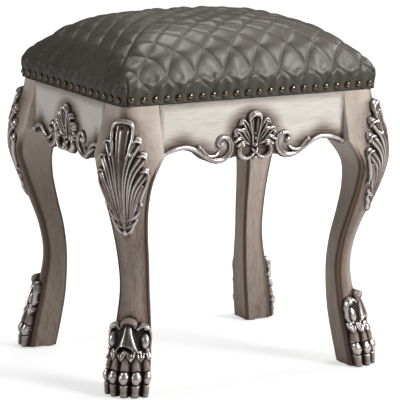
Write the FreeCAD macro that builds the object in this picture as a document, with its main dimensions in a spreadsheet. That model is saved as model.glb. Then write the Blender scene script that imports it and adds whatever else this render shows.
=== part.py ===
import FreeCAD, Part
import math
import os
import Sketcher
from FreeCAD import Placement, Rotation, Vector

# Vanity stool: four cabriole legs with carved knees and paws, scrolled aprons
# and a nailed, diamond-quilted seat. Millimetres, +Z up, front towards -Y,
# origin on the floor under the middle of the seat.

# Driving sizes
SIZES = {
    # Frame, measured over the flat corners of the leg blocks
    "frame_width": 419,
    "frame_depth": 357,
    # Leg blocks and the quirked edge that runs down each leg
    "leg_block": 59,
    "block_chamfer": 18,
    "edge_chamfer": 4,
    "quirk_width": 3.5,
    "quirk_depth": 1.8,
    # Glides under the legs: their thickness is the sole's height
    "glide_diameter": 20,
    "glide_pin_diameter": 3,
    "glide_pin_length": 12,
    # Aprons: drops of the lower edge are measured from the top of the frame
    "apron_thick": 22,
    "apron_end_drop": 78,
    "apron_crest_drop": 67,
    "apron_trough_drop": 90,
    "apron_middle_drop": 80,
    "front_crest_inset": 37,
    "front_trough": 58,
    "side_crest_inset": 25,
    "side_trough": 58,
    # Scroll mouldings: a half round of this width, curling up from each trough
    "moulding_width": 8.4,
    "moulding_end_gap": 3,
    "scroll_rise": 20,
    "scroll_crown": 13,
    "scroll_turn": 8,
    "scroll_curl": 5,
    "eye_radius": 5.5,
    "eye_taper": 25,
    # Cartouche in the middle of each apron
    "cartouche_height": 71,
    "cartouche_ring": 12.5,
    "cartouche_rod": 4,
    "cartouche_curl": 270,
    "stem_foot_radius": 5,
    "stem_head_radius": 9,
    "lip_radius": 6.5,
    "lip_length": 14,
    "lobe_radius": 6.5,
    "lobe_long": 36,
    "lobe_long_lean": 28,
    "lobe_short": 28,
    "lobe_short_lean": 58,
    # Knee carving: fluted leaf that stands off the round of the knee
    "knee_flutes": 5,
    "knee_relief": 3,
    "knee_flute_rise": 2.6,
    "knee_root": 6,
    "knee_lip_radius": 7,
    "knee_lip_length": 24,
    "knee_lip_drop": 5,
    "calf_spread": 22,
    "knee_foot_spread": 44,
    "knee_spread": 60,
    "knee_top_spread": 58,
    "shoulder_spread": 44,
    "neck_spread": 26,
    # Paw carving: toes round the foot under a turned-over cuff
    "toe_count": 5,
    "toe_spacing_angle": 23,
    "toe_root_radius": 6.5,
    "toe_root_reach": 26,
    "toe_root_height": 62,
    "knuckle_radius": 8,
    "knuckle_reach": 38.5,
    "knuckle_height": 28,
    "claw_radius": 6.5,
    "claw_reach": 36.5,
    "claw_height": 8,
    "cuff_bottom": 58,
    "cuff_belly": 74,
    "cuff_top": 116,
    "cuff_bottom_reach": 33,
    "cuff_belly_reach": 37,
    "cuff_top_reach": 27,
    "cuff_core": 12,
    "cuff_half_angle": 58,
    "cuff_lip_radius": 6,
    "cuff_lip_length": 22,
    "boss_radius": 8,
    "boss_angle": 42,
    # Dowels between the aprons and the leg blocks
    "dowel_diameter": 10,
    "dowel_length": 48,
    "dowel_low_drop": 53,
    "dowel_high_drop": 21,
    "dowel_clearance": 0.15,
    # Corner blocks with hanger bolts
    "corner_height": 34,
    "corner_width": 32,
    "corner_gap": 0.4,
    "bolt_diameter": 8,
    "bolt_in_leg": 30,
    "bolt_tail": 4,
    "bolt_clearance": 0.25,
    "washer_diameter": 22,
    "washer_thick": 1.6,
    "nut_width": 13,
    "nut_height": 6.5,
    # Wood screws: corner blocks to aprons, and up into the seat board
    "screw_diameter": 4.5,
    "screw_head_diameter": 8.5,
    "screw_head_height": 3,
    "screw_bite": 14,
    "screw_grip": 12,
    "screw_clearance": 0.2,
    "block_screw_reach": 42,
    "seat_screw_offset": 20,
    # Seat board, filling and quilted cover
    "seat_overhang": 0.5,
    "board_thick": 18,
    "seat_clearance": 0.3,
    "cover_thick": 2,
    "band_margin": 1,
    "band_draw": 1.5,
    "shoulder_rise": 29,
    "edge_radius": 16,
    "crown_rise": 59,
    "crown_fullness": 4.6,
    "corner_cut": 9,
    "quilt_columns": 9,
    "quilt_rows": 8,
    "quilt_pillow": 3.5,
    # Decorative nails round the seat
    "nail_diameter": 9.5,
    "nail_rise": 3.6,
    "nail_shank": 1.8,
    "nail_shank_length": 12,
    "nail_clearance": 0.1,
    "nails_front": 22,
    "nails_side": 16,
    "nail_corner_inset": 14,
    "nail_height": 9,
    # Dust cover under the seat board
    "dust_thick": 0.8,
    "dust_clearance": 1,
}

# Leg sections from the floor up: height, inner edge and corner round, with the
# edge measured in from the corner planes and the bow measured out from them
LEG_STATIONS = {
    "sole": {"height": 1.5, "inner": 41.2, "bow": 3, "round": 33},
    "instep": {"height": 45, "inner": 47.8, "bow": -3.5, "round": 31},
    "pastern": {"height": 90, "inner": 53, "bow": -12, "round": 28},
    "ankle": {"height": 145, "inner": 54.8, "bow": -20.2, "round": 23},
    "shin": {"height": 190, "inner": 51.6, "bow": -16, "round": 23},
    "calf": {"height": 235, "inner": 44, "bow": -4.5, "round": 20.5},
    "knee_foot": {"height": 275, "inner": 39, "bow": 8, "round": 24},
    "knee": {"height": 312, "inner": 41, "bow": 18.5, "round": 35},
    "knee_top": {"height": 345, "inner": 58.5, "bow": 17, "round": 34},
}
BLOCK_STATIONS = {
    "shoulder": {"height": 375, "bow": 9, "round": 28},
    "neck": {"height": 400, "bow": 2, "round": 27},
    "block_top": {"height": 418, "bow": 0, "round": 30},
}
KNEE_KEYS = ("height", "bow", "round", "spread")
KNEE_STATIONS = ["calf", "knee_foot", "knee", "knee_top", "shoulder", "neck"]

doc = FreeCAD.newDocument("vanity_stool")
sheet = doc.addObject("Spreadsheet::Sheet", "dims")
NODES = []


def fill_sheet():
    """Write every driving size into the sheet under its own alias."""
    cells = dict(SIZES)
    for stations in (LEG_STATIONS, BLOCK_STATIONS):
        for station, values in stations.items():
            for what, value in values.items():
                cells[f"{station}_{what}"] = value
    for row, (alias, value) in enumerate(cells.items(), start=1):
        sheet.set(f"A{row}", alias)
        sheet.set(f"B{row}", str(value))
        sheet.setAlias(f"B{row}", alias)
    doc.recompute()


def size(alias):
    return float(sheet.get(alias))


def count(alias):
    return int(round(size(alias)))


def keep(node):
    """List a finished sub-part for the export."""
    NODES.append(node)
    return node


def place(node, position, turn=0):
    """Move a sub-part to expressions for its position, turned about Z."""
    node.Placement.Rotation = Rotation(Vector(0, 0, 1), turn)
    for axis, text in zip("xyz", position):
        node.setExpression(f"Placement.Base.{axis}", text)
    return node


def code_solid(label, shape):
    """A sub-part whose solid is worked out here from the sheet's sizes."""
    node = doc.addObject("Part::Feature", label)
    node.Label = label
    node.Shape = shape
    return node


def loop_wire(points):
    return Part.makePolygon([*points, points[0]])


def origin_plane(body, role):
    return next(f for f in body.Origin.OriginFeatures if f.Role == role)


def sketch_on(body, name, role, offset="0"):
    """A sketch on one of the body's own planes, lifted by an expression."""
    sketch = body.newObject("Sketcher::SketchObject", name)
    sketch.AttachmentSupport = (origin_plane(body, role), [""])
    sketch.MapMode = "FlatFace"
    sketch.setExpression("AttachmentOffset.Base.z", offset)
    return sketch


def sized(sketch, constraint, text):
    """Add a constraint and bind it to an expression."""
    index = sketch.addConstraint(constraint)
    sketch.setExpression(f"Constraints[{index}]", text)


def arc_between(start, end, radius, side):
    """Arc from start to end with its centre on the left (1) or right (-1)."""
    chord = end - start
    across = Vector(-chord.y, chord.x, 0).normalize()
    rise = math.sqrt(max(radius ** 2 - chord.Length ** 2 / 4, 0))
    centre = (start + end) * 0.5 + across * (rise * side)
    first, last = (start, end) if side > 0 else (end, start)
    angles = [math.atan2(p.y - centre.y, p.x - centre.x) for p in (first, last)]
    return Part.ArcOfCircle(Part.Circle(centre, Vector(0, 0, 1), radius), *angles)


def draw(sketch, points, arcs=None, closed=True):
    """Outline through points given as expressions.

    arcs maps an edge's number to its radius and the side its centre is on."""
    arcs = arcs or {}
    corners = [Vector(*(float(sketch.evalExpression(text)) for text in point), 0) for point in points]
    edges = len(points) if closed else len(points) - 1
    heads = []
    tails = []
    for number in range(edges):
        start, end = corners[number], corners[(number + 1) % len(points)]
        if number in arcs:
            text, side = arcs[number]
            sketch.addGeometry(arc_between(start, end, float(sketch.evalExpression(text)), side))
        else:
            side = 1
            sketch.addGeometry(Part.LineSegment(start, end))
        heads.append((number, 1 if side > 0 else 2))
        tails.append((number, 2 if side > 0 else 1))
    for number in range(0 if closed else 1, edges):
        sketch.addConstraint(Sketcher.Constraint("Coincident", *tails[number - 1], *heads[number]))
    for number, (corner, point) in enumerate(zip(corners, points)):
        end = heads[number] if number < edges else tails[-1]
        sized(sketch, Sketcher.Constraint("DistanceX", -1, 1, *end, corner.x), point[0])
        sized(sketch, Sketcher.Constraint("DistanceY", -1, 1, *end, corner.y), point[1])
    for number, (text, side) in arcs.items():
        radius = float(sketch.evalExpression(text))
        sized(sketch, Sketcher.Constraint("Radius", number, radius), text)
    return sketch


def draw_circle(sketch, x, y, diameter):
    """Circle with its centre and diameter given as expressions."""
    centre = Vector(float(sketch.evalExpression(x)), float(sketch.evalExpression(y)), 0)
    width = float(sketch.evalExpression(diameter))
    number = sketch.addGeometry(Part.Circle(centre, Vector(0, 0, 1), width / 2))
    sized(sketch, Sketcher.Constraint("DistanceX", -1, 1, number, 3, centre.x), x)
    sized(sketch, Sketcher.Constraint("DistanceY", -1, 1, number, 3, centre.y), y)
    sized(sketch, Sketcher.Constraint("Diameter", number, width), diameter)


def pad(body, sketch, length, back=False):
    feature = body.newObject("PartDesign::Pad", f"{sketch.Name}_pad")
    feature.Profile = sketch
    feature.Reversed = back
    feature.setExpression("Length", length)
    doc.recompute()
    return feature


def pocket(body, sketch, depth, back=False):
    """Cut a sketch into the body and make sure that it removed material."""
    before = body.Shape.Volume
    feature = body.newObject("PartDesign::Pocket", f"{sketch.Name}_cut")
    feature.Profile = sketch
    feature.Reversed = back
    feature.setExpression("Length", depth)
    doc.recompute()
    if body.Shape.Volume > before - 0.5:
        raise RuntimeError(f"{sketch.Name} cuts nothing")
    return feature


def loft(body, name, sketches):
    feature = body.newObject("PartDesign::AdditiveLoft", name)
    feature.Profile = sketches[0]
    feature.Sections = sketches[1:]
    feature.Ruled = True
    doc.recompute()
    return feature


def new_body(label):
    body = doc.addObject("PartDesign::Body", label)
    body.Label = label
    return body


# Places shared by several sub-parts, as expressions
BLOCK_X = "(dims.frame_width / 2 - dims.leg_block)"
BLOCK_Y = "(dims.frame_depth / 2 - dims.leg_block)"
CORNERS = {
    "rear_right": (f"{BLOCK_X}", f"{BLOCK_Y}", 0),
    "rear_left": (f"-{BLOCK_X}", f"{BLOCK_Y}", 90),
    "front_left": (f"-{BLOCK_X}", f"-{BLOCK_Y}", 180),
    "front_right": (f"{BLOCK_X}", f"-{BLOCK_Y}", 270),
}
DOWEL_DROPS = ["dims.dowel_low_drop", "dims.dowel_high_drop"]
DOWEL_HOLE = "dims.dowel_diameter + 2 * dims.dowel_clearance"
DOWEL_DEPTH = "dims.dowel_length / 2 + dims.dowel_clearance"
BOLT_HEIGHT = "(dims.block_top_height - dims.corner_height / 2)"
RAIL_FACE = "(dims.leg_block - dims.apron_thick)"
BRACE_NEAR = "(dims.block_chamfer - dims.corner_gap * sqrt(2))"
BRACE_FAR = f"({BRACE_NEAR} - dims.corner_width * sqrt(2))"
SCREW_HOLE = "dims.screw_diameter + 2 * dims.screw_clearance"
ACROSS = Vector(1, -1, 0).normalize()
EIGHTHS = [math.pi / 8 + number * math.pi / 4 for number in range(8)]

# Carved forms, as shares of their own size
NAIL_DOME = [(1, 0), (0.8, 0.5), (0.3, 1)]
NOSE = [(0, 1), (0.6, 0.8), (1, 0.3)]
KNUCKLE_TOP = 0.25
KNUCKLE_FOOT = 0.15
TOE_WAIST = 0.45
CUFF_STEPS = 8
CURL_STEP_ANGLE = 30


def smooth_stations(names, keys):
    """Expressions for each station, and for a smooth section between each two."""
    rows = []
    for number, name in enumerate(names):
        rows.append({key: f"dims.{name}_{key}" for key in keys})
        if name == names[-1]:
            break
        around = [names[max(number - 1, 0)], name, names[number + 1], names[min(number + 2, len(names) - 1)]]
        between = {}
        for key in keys:
            before, near, far, after = [f"dims.{station}_{key}" for station in around]
            between[key] = f"(9 * ({near} + {far}) - {before} - {after}) / 16"
        rows.append(between)
    return rows


def octagon(radius):
    """Eight corners round the origin, as expressions."""
    return [(f"{radius} * ({math.cos(turn):.6f})", f"{radius} * ({math.sin(turn):.6f})") for turn in EIGHTHS]


def cut_corners(wide, deep, cut):
    """Rectangle about the origin with its corners cut off, as expressions."""
    points = []
    for x, y, upright_first in (("", "", True), ("-", "", False), ("-", "-", True), ("", "-", False)):
        upright = (f"{x}{wide}", f"{y}({deep} - {cut})")
        level = (f"{x}({wide} - {cut})", f"{y}{deep}")
        points += [upright, level] if upright_first else [level, upright]
    return points


def leg_section(body, name, row):
    """Cabriole section: two flat inner sides, quirked edges, rounded front."""
    inner = f"(dims.leg_block - ({row['inner']}))"
    outer = f"(dims.leg_block + ({row['bow']}))"
    edge = f"({inner} + dims.edge_chamfer)"
    side = [
        (inner, f"{outer} - dims.edge_chamfer"),
        (edge, outer),
        (f"{edge} + dims.quirk_width / 2", f"{outer} - dims.quirk_depth"),
        (f"{edge} + dims.quirk_width", outer),
        (f"{outer} - ({row['round']})", outer),
    ]
    points = [(inner, inner)] + side + [(y, x) for x, y in reversed(side)]
    sketch = sketch_on(body, name, "XY_Plane", row["height"])
    return draw(sketch, points, {5: (row["round"], -1)})


def block_section(body, name, row):
    """Section of the square block, bowed out and rounded at its corner."""
    outer = f"(dims.leg_block + ({row['bow']}))"
    tangent = f"({outer} - ({row['round']}))"
    points = [("0", "0"), ("0", outer), (tangent, outer), (outer, tangent), (outer, "0")]
    sketch = sketch_on(body, name, "XY_Plane", row["height"])
    return draw(sketch, points, {2: (row["round"], -1)})


def make_leg():
    """Cabriole leg with its block, bored for dowels, hanger bolt and glide."""
    leg = new_body("leg_pattern")
    rows = smooth_stations(list(LEG_STATIONS), ("height", "inner", "bow", "round"))
    loft(leg, "cabriole", [leg_section(leg, f"leg_section{n}", row) for n, row in enumerate(rows)])
    rows = smooth_stations(["knee_top", *BLOCK_STATIONS], ("height", "bow", "round"))
    loft(leg, "block", [block_section(leg, f"block_section{n}", row) for n, row in enumerate(rows)])

    inside = sketch_on(leg, "inside_flat", "XY_Plane", "dims.block_top_height")
    draw(inside, [("0", "0"), ("dims.block_chamfer", "0"), ("0", "dims.block_chamfer")])
    pocket(leg, inside, "dims.block_top_height - dims.knee_top_height")

    centre = "dims.leg_block - dims.apron_thick / 2"
    for number, drop in enumerate(DOWEL_DROPS):
        height = f"dims.block_top_height - {drop}"
        along_x = sketch_on(leg, f"dowel_x{number}", "YZ_Plane")
        draw_circle(along_x, centre, height, DOWEL_HOLE)
        pocket(leg, along_x, DOWEL_DEPTH, back=True)
        along_y = sketch_on(leg, f"dowel_y{number}", "XZ_Plane")
        draw_circle(along_y, centre, height, DOWEL_HOLE)
        pocket(leg, along_y, DOWEL_DEPTH)

    sole = sketch_on(leg, "glide_bore", "XY_Plane", "dims.sole_height")
    middle = "dims.leg_block + dims.sole_bow - dims.sole_round"
    draw_circle(sole, middle, middle, "dims.glide_pin_diameter + 2 * dims.screw_clearance")
    pocket(leg, sole, "dims.glide_pin_length + dims.screw_clearance", back=True)

    bolt = doc.addObject("Part::Cylinder", "bolt_bore")
    bolt.setExpression("Radius", "dims.bolt_diameter / 2 + dims.bolt_clearance")
    bolt.setExpression("Height", "dims.bolt_in_leg + dims.bolt_clearance + dims.leg_block")
    bolt.Placement.Rotation = Rotation(Vector(0, 0, 1), Vector(1, 1, 0))
    start = "dims.block_chamfer / 2 - dims.leg_block / sqrt(2)"
    bolt.setExpression("Placement.Base.x", start)
    bolt.setExpression("Placement.Base.y", start)
    bolt.setExpression("Placement.Base.z", BOLT_HEIGHT)
    bored = doc.addObject("Part::Cut", "leg_bored")
    bored.Base = leg
    bored.Tool = bolt
    doc.recompute()
    return bored


def at_corners(prefix, pattern):
    """Set a copy of a corner piece at each of the four legs."""
    for corner, (x, y, turn) in CORNERS.items():
        node = code_solid(f"{prefix}_{corner}", pattern.Shape)
        keep(place(node, (x, y, "0"), turn))


def polar(angle, reach):
    """Direction from the diagonal of a leg, in degrees, times a reach."""
    turned = math.radians(45 + angle)
    return Vector(reach * math.cos(turned), reach * math.sin(turned), 0)


def band_faces(lower, upper):
    """Flat facets between two rings of points, two to each side."""
    faces = []
    for number, (low, high) in enumerate(zip(lower, upper)):
        after = (number + 1) % len(lower)
        faces += [(low, lower[after], upper[after]), (low, upper[after], high)]
    return faces


def flat_solid(faces):
    """Closed solid from the corners of its flat faces, less those of no size."""
    whole = [face for face in faces if min((a - b).Length for a, b in zip(face, face[1:] + face[:1])) > 1e-6]
    shell = Part.makeShell([Part.Face(loop_wire(corners)) for corners in whole])
    shell.sewShape()
    return Part.makeSolid(shell)


def ringed_solid(rings):
    """Solid through rings of points, closed by the first and the last."""
    faces = [rings[0], rings[-1]]
    for lower, upper in zip(rings, rings[1:]):
        faces += band_faces(lower, upper)
    return flat_solid(faces)


def carved_rod(stops):
    """Eight-sided rod through points with their radii, as a carver roughs it out."""
    start = stops[1][0] - stops[0][0]
    side = min((Vector(1, 0, 0), Vector(0, 1, 0), Vector(0, 0, 1)), key=lambda axis: abs(axis.dot(start)))
    rings = []
    for number, (point, radius) in enumerate(stops):
        ahead = stops[min(number + 1, len(stops) - 1)][0] - stops[max(number - 1, 0)][0]
        ahead.normalize()
        side = (side - ahead * side.dot(ahead)).normalize()
        over = ahead.cross(side)
        rings.append([point + (side * math.cos(turn) + over * math.sin(turn)) * radius for turn in EIGHTHS])
    return ringed_solid(rings)


def nose(point, outward, radius):
    """Stops that close a carved rod with a blunt nose."""
    return [(point + outward * (radius * ahead), radius * width) for ahead, width in NOSE]


def lip_rod(centre, across, radius, length):
    """Short rolled lip, blunt at both ends."""
    start = centre - across * (length / 2)
    end = centre + across * (length / 2)
    return carved_rod(nose(start, -across, radius)[::-1] + nose(end, across, radius))


def knee_section(row):
    """Fluted band over the round of the knee, with its root inside the leg."""
    height, bow, rounding, spread = [float(sheet.evalExpression(row[key])) for key in KNEE_KEYS]
    centre_at = size("leg_block") + bow - rounding
    centre = Vector(centre_at, centre_at, height)
    half_flutes = 2 * count("knee_flutes")
    points = []
    for number in range(half_flutes + 1):
        ridge = size("knee_flute_rise") * (number % 2)
        angle = -spread + 2 * spread * number / half_flutes
        points.append(centre + polar(angle, rounding + size("knee_relief") + ridge))
    return points + [centre + polar(angle, rounding - size("knee_root")) for angle in (spread, -spread)]


def make_knee_carving(leg):
    """Fluted leaf that widens up the knee and rolls over at its top."""
    rows = smooth_stations(KNEE_STATIONS, KNEE_KEYS)
    leaf = ringed_solid([knee_section(row) for row in rows])
    centre_at = size("leg_block") + size("neck_bow") - size("neck_round")
    top = Vector(centre_at, centre_at, size("neck_height") - size("knee_lip_drop"))
    reach = size("neck_round") + size("knee_relief") - size("knee_lip_radius") / 2
    lip = lip_rod(top + polar(0, reach), ACROSS, size("knee_lip_radius"), size("knee_lip_length"))
    blank = code_solid("knee_blank", leaf.fuse(lip))
    return seated("knee_pattern", blank, leg)


def seated(name, blank, leg):
    """Cut the back of a carving to the leg that it is fixed on."""
    cut = doc.addObject("Part::Cut", name)
    cut.Base = blank
    cut.Tool = leg
    doc.recompute()
    return cut


def make_toe(axis, angle):
    """Toe with its root under the cuff, a round knuckle and a claw."""
    root = axis + polar(angle, size("toe_root_reach")) + Vector(0, 0, size("toe_root_height"))
    knuckle = axis + polar(angle, size("knuckle_reach")) + Vector(0, 0, size("knuckle_height"))
    claw = axis + polar(angle, size("claw_reach")) + Vector(0, 0, size("claw_height"))
    return carved_rod([
        (root, size("toe_root_radius")),
        (knuckle + (root - knuckle) * KNUCKLE_TOP, size("knuckle_radius")),
        (knuckle + (claw - knuckle) * KNUCKLE_FOOT, size("knuckle_radius")),
        (knuckle + (claw - knuckle) * TOE_WAIST, size("toe_root_radius")),
        (claw, size("claw_radius")),
        (Vector(claw.x, claw.y, 0), size("claw_radius") / 2),
    ])


def make_cuff(axis):
    """Collar of the paw: a barrel swept round the front of the foot."""
    core = size("cuff_core")
    middle = (size("cuff_belly") + size("cuff_top")) / 2
    profile = [
        (core, size("cuff_bottom")),
        (size("cuff_bottom_reach"), size("cuff_bottom")),
        (size("cuff_belly_reach"), size("cuff_belly")),
        ((size("cuff_belly_reach") + 2 * size("cuff_top_reach")) / 3, middle),
        (size("cuff_top_reach"), size("cuff_top")),
        (core, size("cuff_top")),
    ]
    rings = []
    for number in range(CUFF_STEPS + 1):
        angle = size("cuff_half_angle") * (2 * number / CUFF_STEPS - 1)
        rings.append([axis + polar(angle, reach) + Vector(0, 0, height) for reach, height in profile])
    return ringed_solid(rings)


def make_paw(leg):
    """Paw casting: toes, cuff, turned lip and side bosses on the foot."""
    foot = size("leg_block") + size("sole_bow") - size("sole_round")
    axis = Vector(foot, foot, 0)
    instep = size("leg_block") + size("instep_bow") - size("instep_round")
    cuff_axis = Vector(instep, instep, 0)
    toes = count("toe_count")
    angles = [(number - (toes - 1) / 2) * size("toe_spacing_angle") for number in range(toes)]
    pieces = [make_toe(axis, angle) for angle in angles]
    lip_at = cuff_axis + polar(0, size("cuff_top_reach") - size("cuff_lip_radius") / 2)
    lip_at.z = size("cuff_top") - size("cuff_lip_radius") / 2
    pieces.append(lip_rod(lip_at, ACROSS, size("cuff_lip_radius"), size("cuff_lip_length")))
    for side in (-1, 1):
        outward = polar(side * size("boss_angle"), 1)
        boss = cuff_axis + outward * (size("cuff_belly_reach") - size("boss_radius"))
        boss.z = (size("cuff_belly") + size("cuff_top")) / 2
        root = boss - outward * size("boss_radius")
        pieces.append(carved_rod([(root, size("boss_radius"))] + nose(boss, outward, size("boss_radius"))))
    paw = make_cuff(cuff_axis).multiFuse(pieces)
    reach = 4 * size("leg_block")
    below = Part.makeBox(reach, reach, reach, Vector(-reach / 2, -reach / 2, size("sole_height") - reach))
    blank = code_solid("paw_blank", paw.cut(below))
    return seated("paw_pattern", blank, leg)


# Aprons, with the line of the lower edge shared by board and moulding
def edge_drop(name):
    return f"(dims.block_top_height - dims.{name}_drop)"


def s_curve_radius(run, rise):
    """Radius of the two equal arcs that join two level points."""
    return f"(({run})^2 + ({rise})^2) / (4 * ({rise}))"


def apron_lines(long, crest_inset, trough):
    """Expressions along half an apron's lower edge, measured from its middle."""
    half = f"({long} / 2 - dims.leg_block)"
    crest = f"({half} - dims.{crest_inset})"
    rise = "(dims.apron_trough_drop - dims.apron_crest_drop)"
    run = f"({crest} - dims.{trough})"
    return {
        "half": half,
        "crest": crest,
        "trough": f"dims.{trough}",
        "end_radius": f"((dims.{crest_inset})^2 + (dims.apron_end_drop - dims.apron_crest_drop)^2)"
                      " / (2 * (dims.apron_end_drop - dims.apron_crest_drop))",
        "wave": s_curve_radius(run, rise),
        "turn_x": f"({crest} + dims.{trough}) / 2",
        "turn_drop": "(dims.apron_trough_drop + dims.apron_crest_drop) / 2",
        "middle_radius": f"((dims.{trough})^2 + (dims.apron_trough_drop - dims.apron_middle_drop)^2)"
                         " / (2 * (dims.apron_trough_drop - dims.apron_middle_drop))",
    }


def make_apron(label, line):
    """Apron board with a scalloped lower edge and dowel holes in its ends."""
    apron = new_body(label)
    top = "dims.block_top_height"
    edge = [
        (line["half"], edge_drop("apron_end")),
        (line["crest"], edge_drop("apron_crest")),
        (line["turn_x"], f"dims.block_top_height - {line['turn_drop']}"),
        (line["trough"], edge_drop("apron_trough")),
    ]
    mirrored = [(f"-({x})", z) for x, z in reversed(edge)]
    points = [(line["half"], top)] + edge + mirrored + [(f"-{line['half']}", top)]
    arcs = {
        1: (line["end_radius"], 1),
        2: (line["wave"], 1),
        3: (line["wave"], -1),
        4: (line["middle_radius"], 1),
        5: (line["wave"], -1),
        6: (line["wave"], 1),
        7: (line["end_radius"], 1),
    }
    face = sketch_on(apron, f"{label}_face", "XZ_Plane")
    pad(apron, draw(face, points, arcs), "dims.apron_thick", back=True)
    for number, drop in enumerate(DOWEL_DROPS):
        for side, sign in (("right", ""), ("left", "-")):
            end = sketch_on(apron, f"{label}_{side}{number}", "YZ_Plane", f"{sign}{line['half']}")
            draw_circle(end, "dims.apron_thick / 2", f"dims.block_top_height - {drop}", DOWEL_HOLE)
            pocket(apron, end, DOWEL_DEPTH, back=sign == "-")
    for side, sign in (("right", ""), ("left", "-")):
        pilot = sketch_on(apron, f"{label}_{side}_pilot", "XZ_Plane", "-dims.apron_thick")
        draw_circle(pilot, f"{sign}({line['half']} - dims.block_screw_reach)", BOLT_HEIGHT, SCREW_HOLE)
        pocket(apron, pilot, "dims.screw_bite + dims.screw_clearance", back=True)
    return apron


def make_scroll(label, line, side):
    """Half-round moulding along half the lower edge, curling up into an eye."""
    body = new_body(label)
    half_width = "dims.moulding_width / 2"
    base = f"(dims.block_top_height - dims.apron_trough_drop + {half_width})"
    rise = f"({base} + dims.scroll_rise)"
    inward = f"({line['trough']} - dims.scroll_rise)"
    crown = f"({inward} + dims.scroll_crown)"
    crown_top = f"({rise} + dims.scroll_crown)"
    turn = f"({crown} + dims.scroll_turn)"
    turn_at = f"({crown_top} - dims.scroll_turn)"
    curl = f"({turn} - dims.scroll_curl)"
    eye = f"({turn_at} - dims.scroll_curl)"
    crest_radius = f"({line['wave']} + {half_width})"
    trough_radius = f"({line['wave']} - {half_width})"
    share = f"({line['crest']} - {line['trough']}) / (2 * {line['wave']})"
    turn_x = f"({line['crest']} - {crest_radius} * {share})"
    turn_z = f"({edge_drop('apron_crest')} - {line['wave']} + {crest_radius} * sqrt(1 - ({share})^2))"
    end_radius = f"({line['end_radius']} + {half_width})"
    end = f"({line['half']} - dims.moulding_end_gap)"
    end_run = f"({end} - {line['crest']})"
    end_z = f"({edge_drop('apron_crest')} - {line['end_radius']} + sqrt(({end_radius})^2 - ({end_run})^2))"
    route = [
        (end, end_z),
        (line["crest"], f"{edge_drop('apron_crest')} + {half_width}"),
        (turn_x, turn_z),
        (line["trough"], base),
        (inward, rise),
        (crown, crown_top),
        (turn, turn_at),
        (curl, eye),
    ]
    radii = [end_radius, crest_radius, trough_radius, "dims.scroll_rise", "dims.scroll_crown",
             "dims.scroll_turn", "dims.scroll_curl"]
    bends = [1, 1, -1, -1, -1, -1, -1]
    mirror = "" if side > 0 else "-"
    route = [(f"{mirror}({x})", z) for x, z in route]
    path = sketch_on(body, f"{label}_path", "XZ_Plane")
    draw(path, route, {n: (r, b * side) for n, (r, b) in enumerate(zip(radii, bends))}, closed=False)
    doc.recompute()
    ring = body.newObject("Sketcher::SketchObject", f"{label}_ring")
    ring.AttachmentSupport = (path, ["Edge1"])
    ring.MapMode = "NormalToEdge"
    ring.MapPathParameter = 0 if side > 0 else 1
    draw(ring, octagon("dims.moulding_width / 2"))
    doc.recompute()
    pipe = body.newObject("PartDesign::AdditivePipe", f"{label}_rod")
    pipe.Profile = ring
    pipe.Spine = (path, [f"Edge{n + 1}" for n in range(len(radii))])
    doc.recompute()
    back = sketch_on(body, f"{label}_back", "XZ_Plane")
    wide = "dims.frame_width"
    tall = "dims.block_top_height"
    draw(back, [(wide, "0"), (wide, tall), (f"-{wide}", tall), (f"-{wide}", "0")])
    pocket(body, back, "dims.moulding_width")
    eye_face = sketch_on(body, f"{label}_eye", "XZ_Plane")
    draw_circle(eye_face, *route[-1], "2 * dims.eye_radius")
    button = pad(body, eye_face, "dims.eye_radius")
    button.setExpression("TaperAngle", "-dims.eye_taper")
    doc.recompute()
    return body


def carved_curl(centre, radius, rod, side):
    """Eight-sided rod bent round most of a circle in the apron's plane."""
    steps = max(2, round(size("cartouche_curl") / CURL_STEP_ANGLE))
    stops = []
    for number in range(steps + 1):
        turn = math.radians(size("cartouche_curl") * number / steps)
        stops.append((centre + Vector(-side * radius * math.cos(turn), 0, radius * math.sin(turn)), rod))
    return carved_rod(stops)


def make_cartouche():
    """Leaf and shell crest: two rings at the foot, a fluted stem, side lobes."""
    foot = size("block_top_height") - size("apron_trough_drop")
    ring = size("cartouche_ring")
    rod = size("cartouche_rod")
    ring_at = foot + ring + rod
    head = foot + size("cartouche_height") - size("lip_radius")
    upward = Vector(0, 0, 1)
    sideways = Vector(1, 0, 0)
    stem = carved_rod([
        (upward * ring_at, size("stem_foot_radius")),
        (upward * head, size("stem_head_radius")),
    ])
    lip_at = Vector(0, -size("stem_head_radius") / 2, head)
    pieces = [lip_rod(lip_at, sideways, size("lip_radius"), size("lip_length"))]
    for side in (-1, 1):
        pieces.append(carved_curl(Vector(side * ring, 0, ring_at), ring, rod, side))
        for lobe in ("lobe_long", "lobe_short"):
            angle = math.radians(size(f"{lobe}_lean"))
            lean = Vector(side * math.sin(angle), 0, math.cos(angle))
            start = Vector(side * rod, 0, ring_at + rod)
            tip = nose(start + lean * size(lobe), lean, size("lobe_radius"))
            pieces.append(carved_rod([(start, rod)] + tip))
    crest = stem.multiFuse(pieces)
    reach = size("block_top_height")
    behind = Part.makeBox(2 * reach, reach, 2 * reach, Vector(-reach, 0, 0))
    return code_solid("cartouche_pattern", crest.cut(behind))


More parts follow.
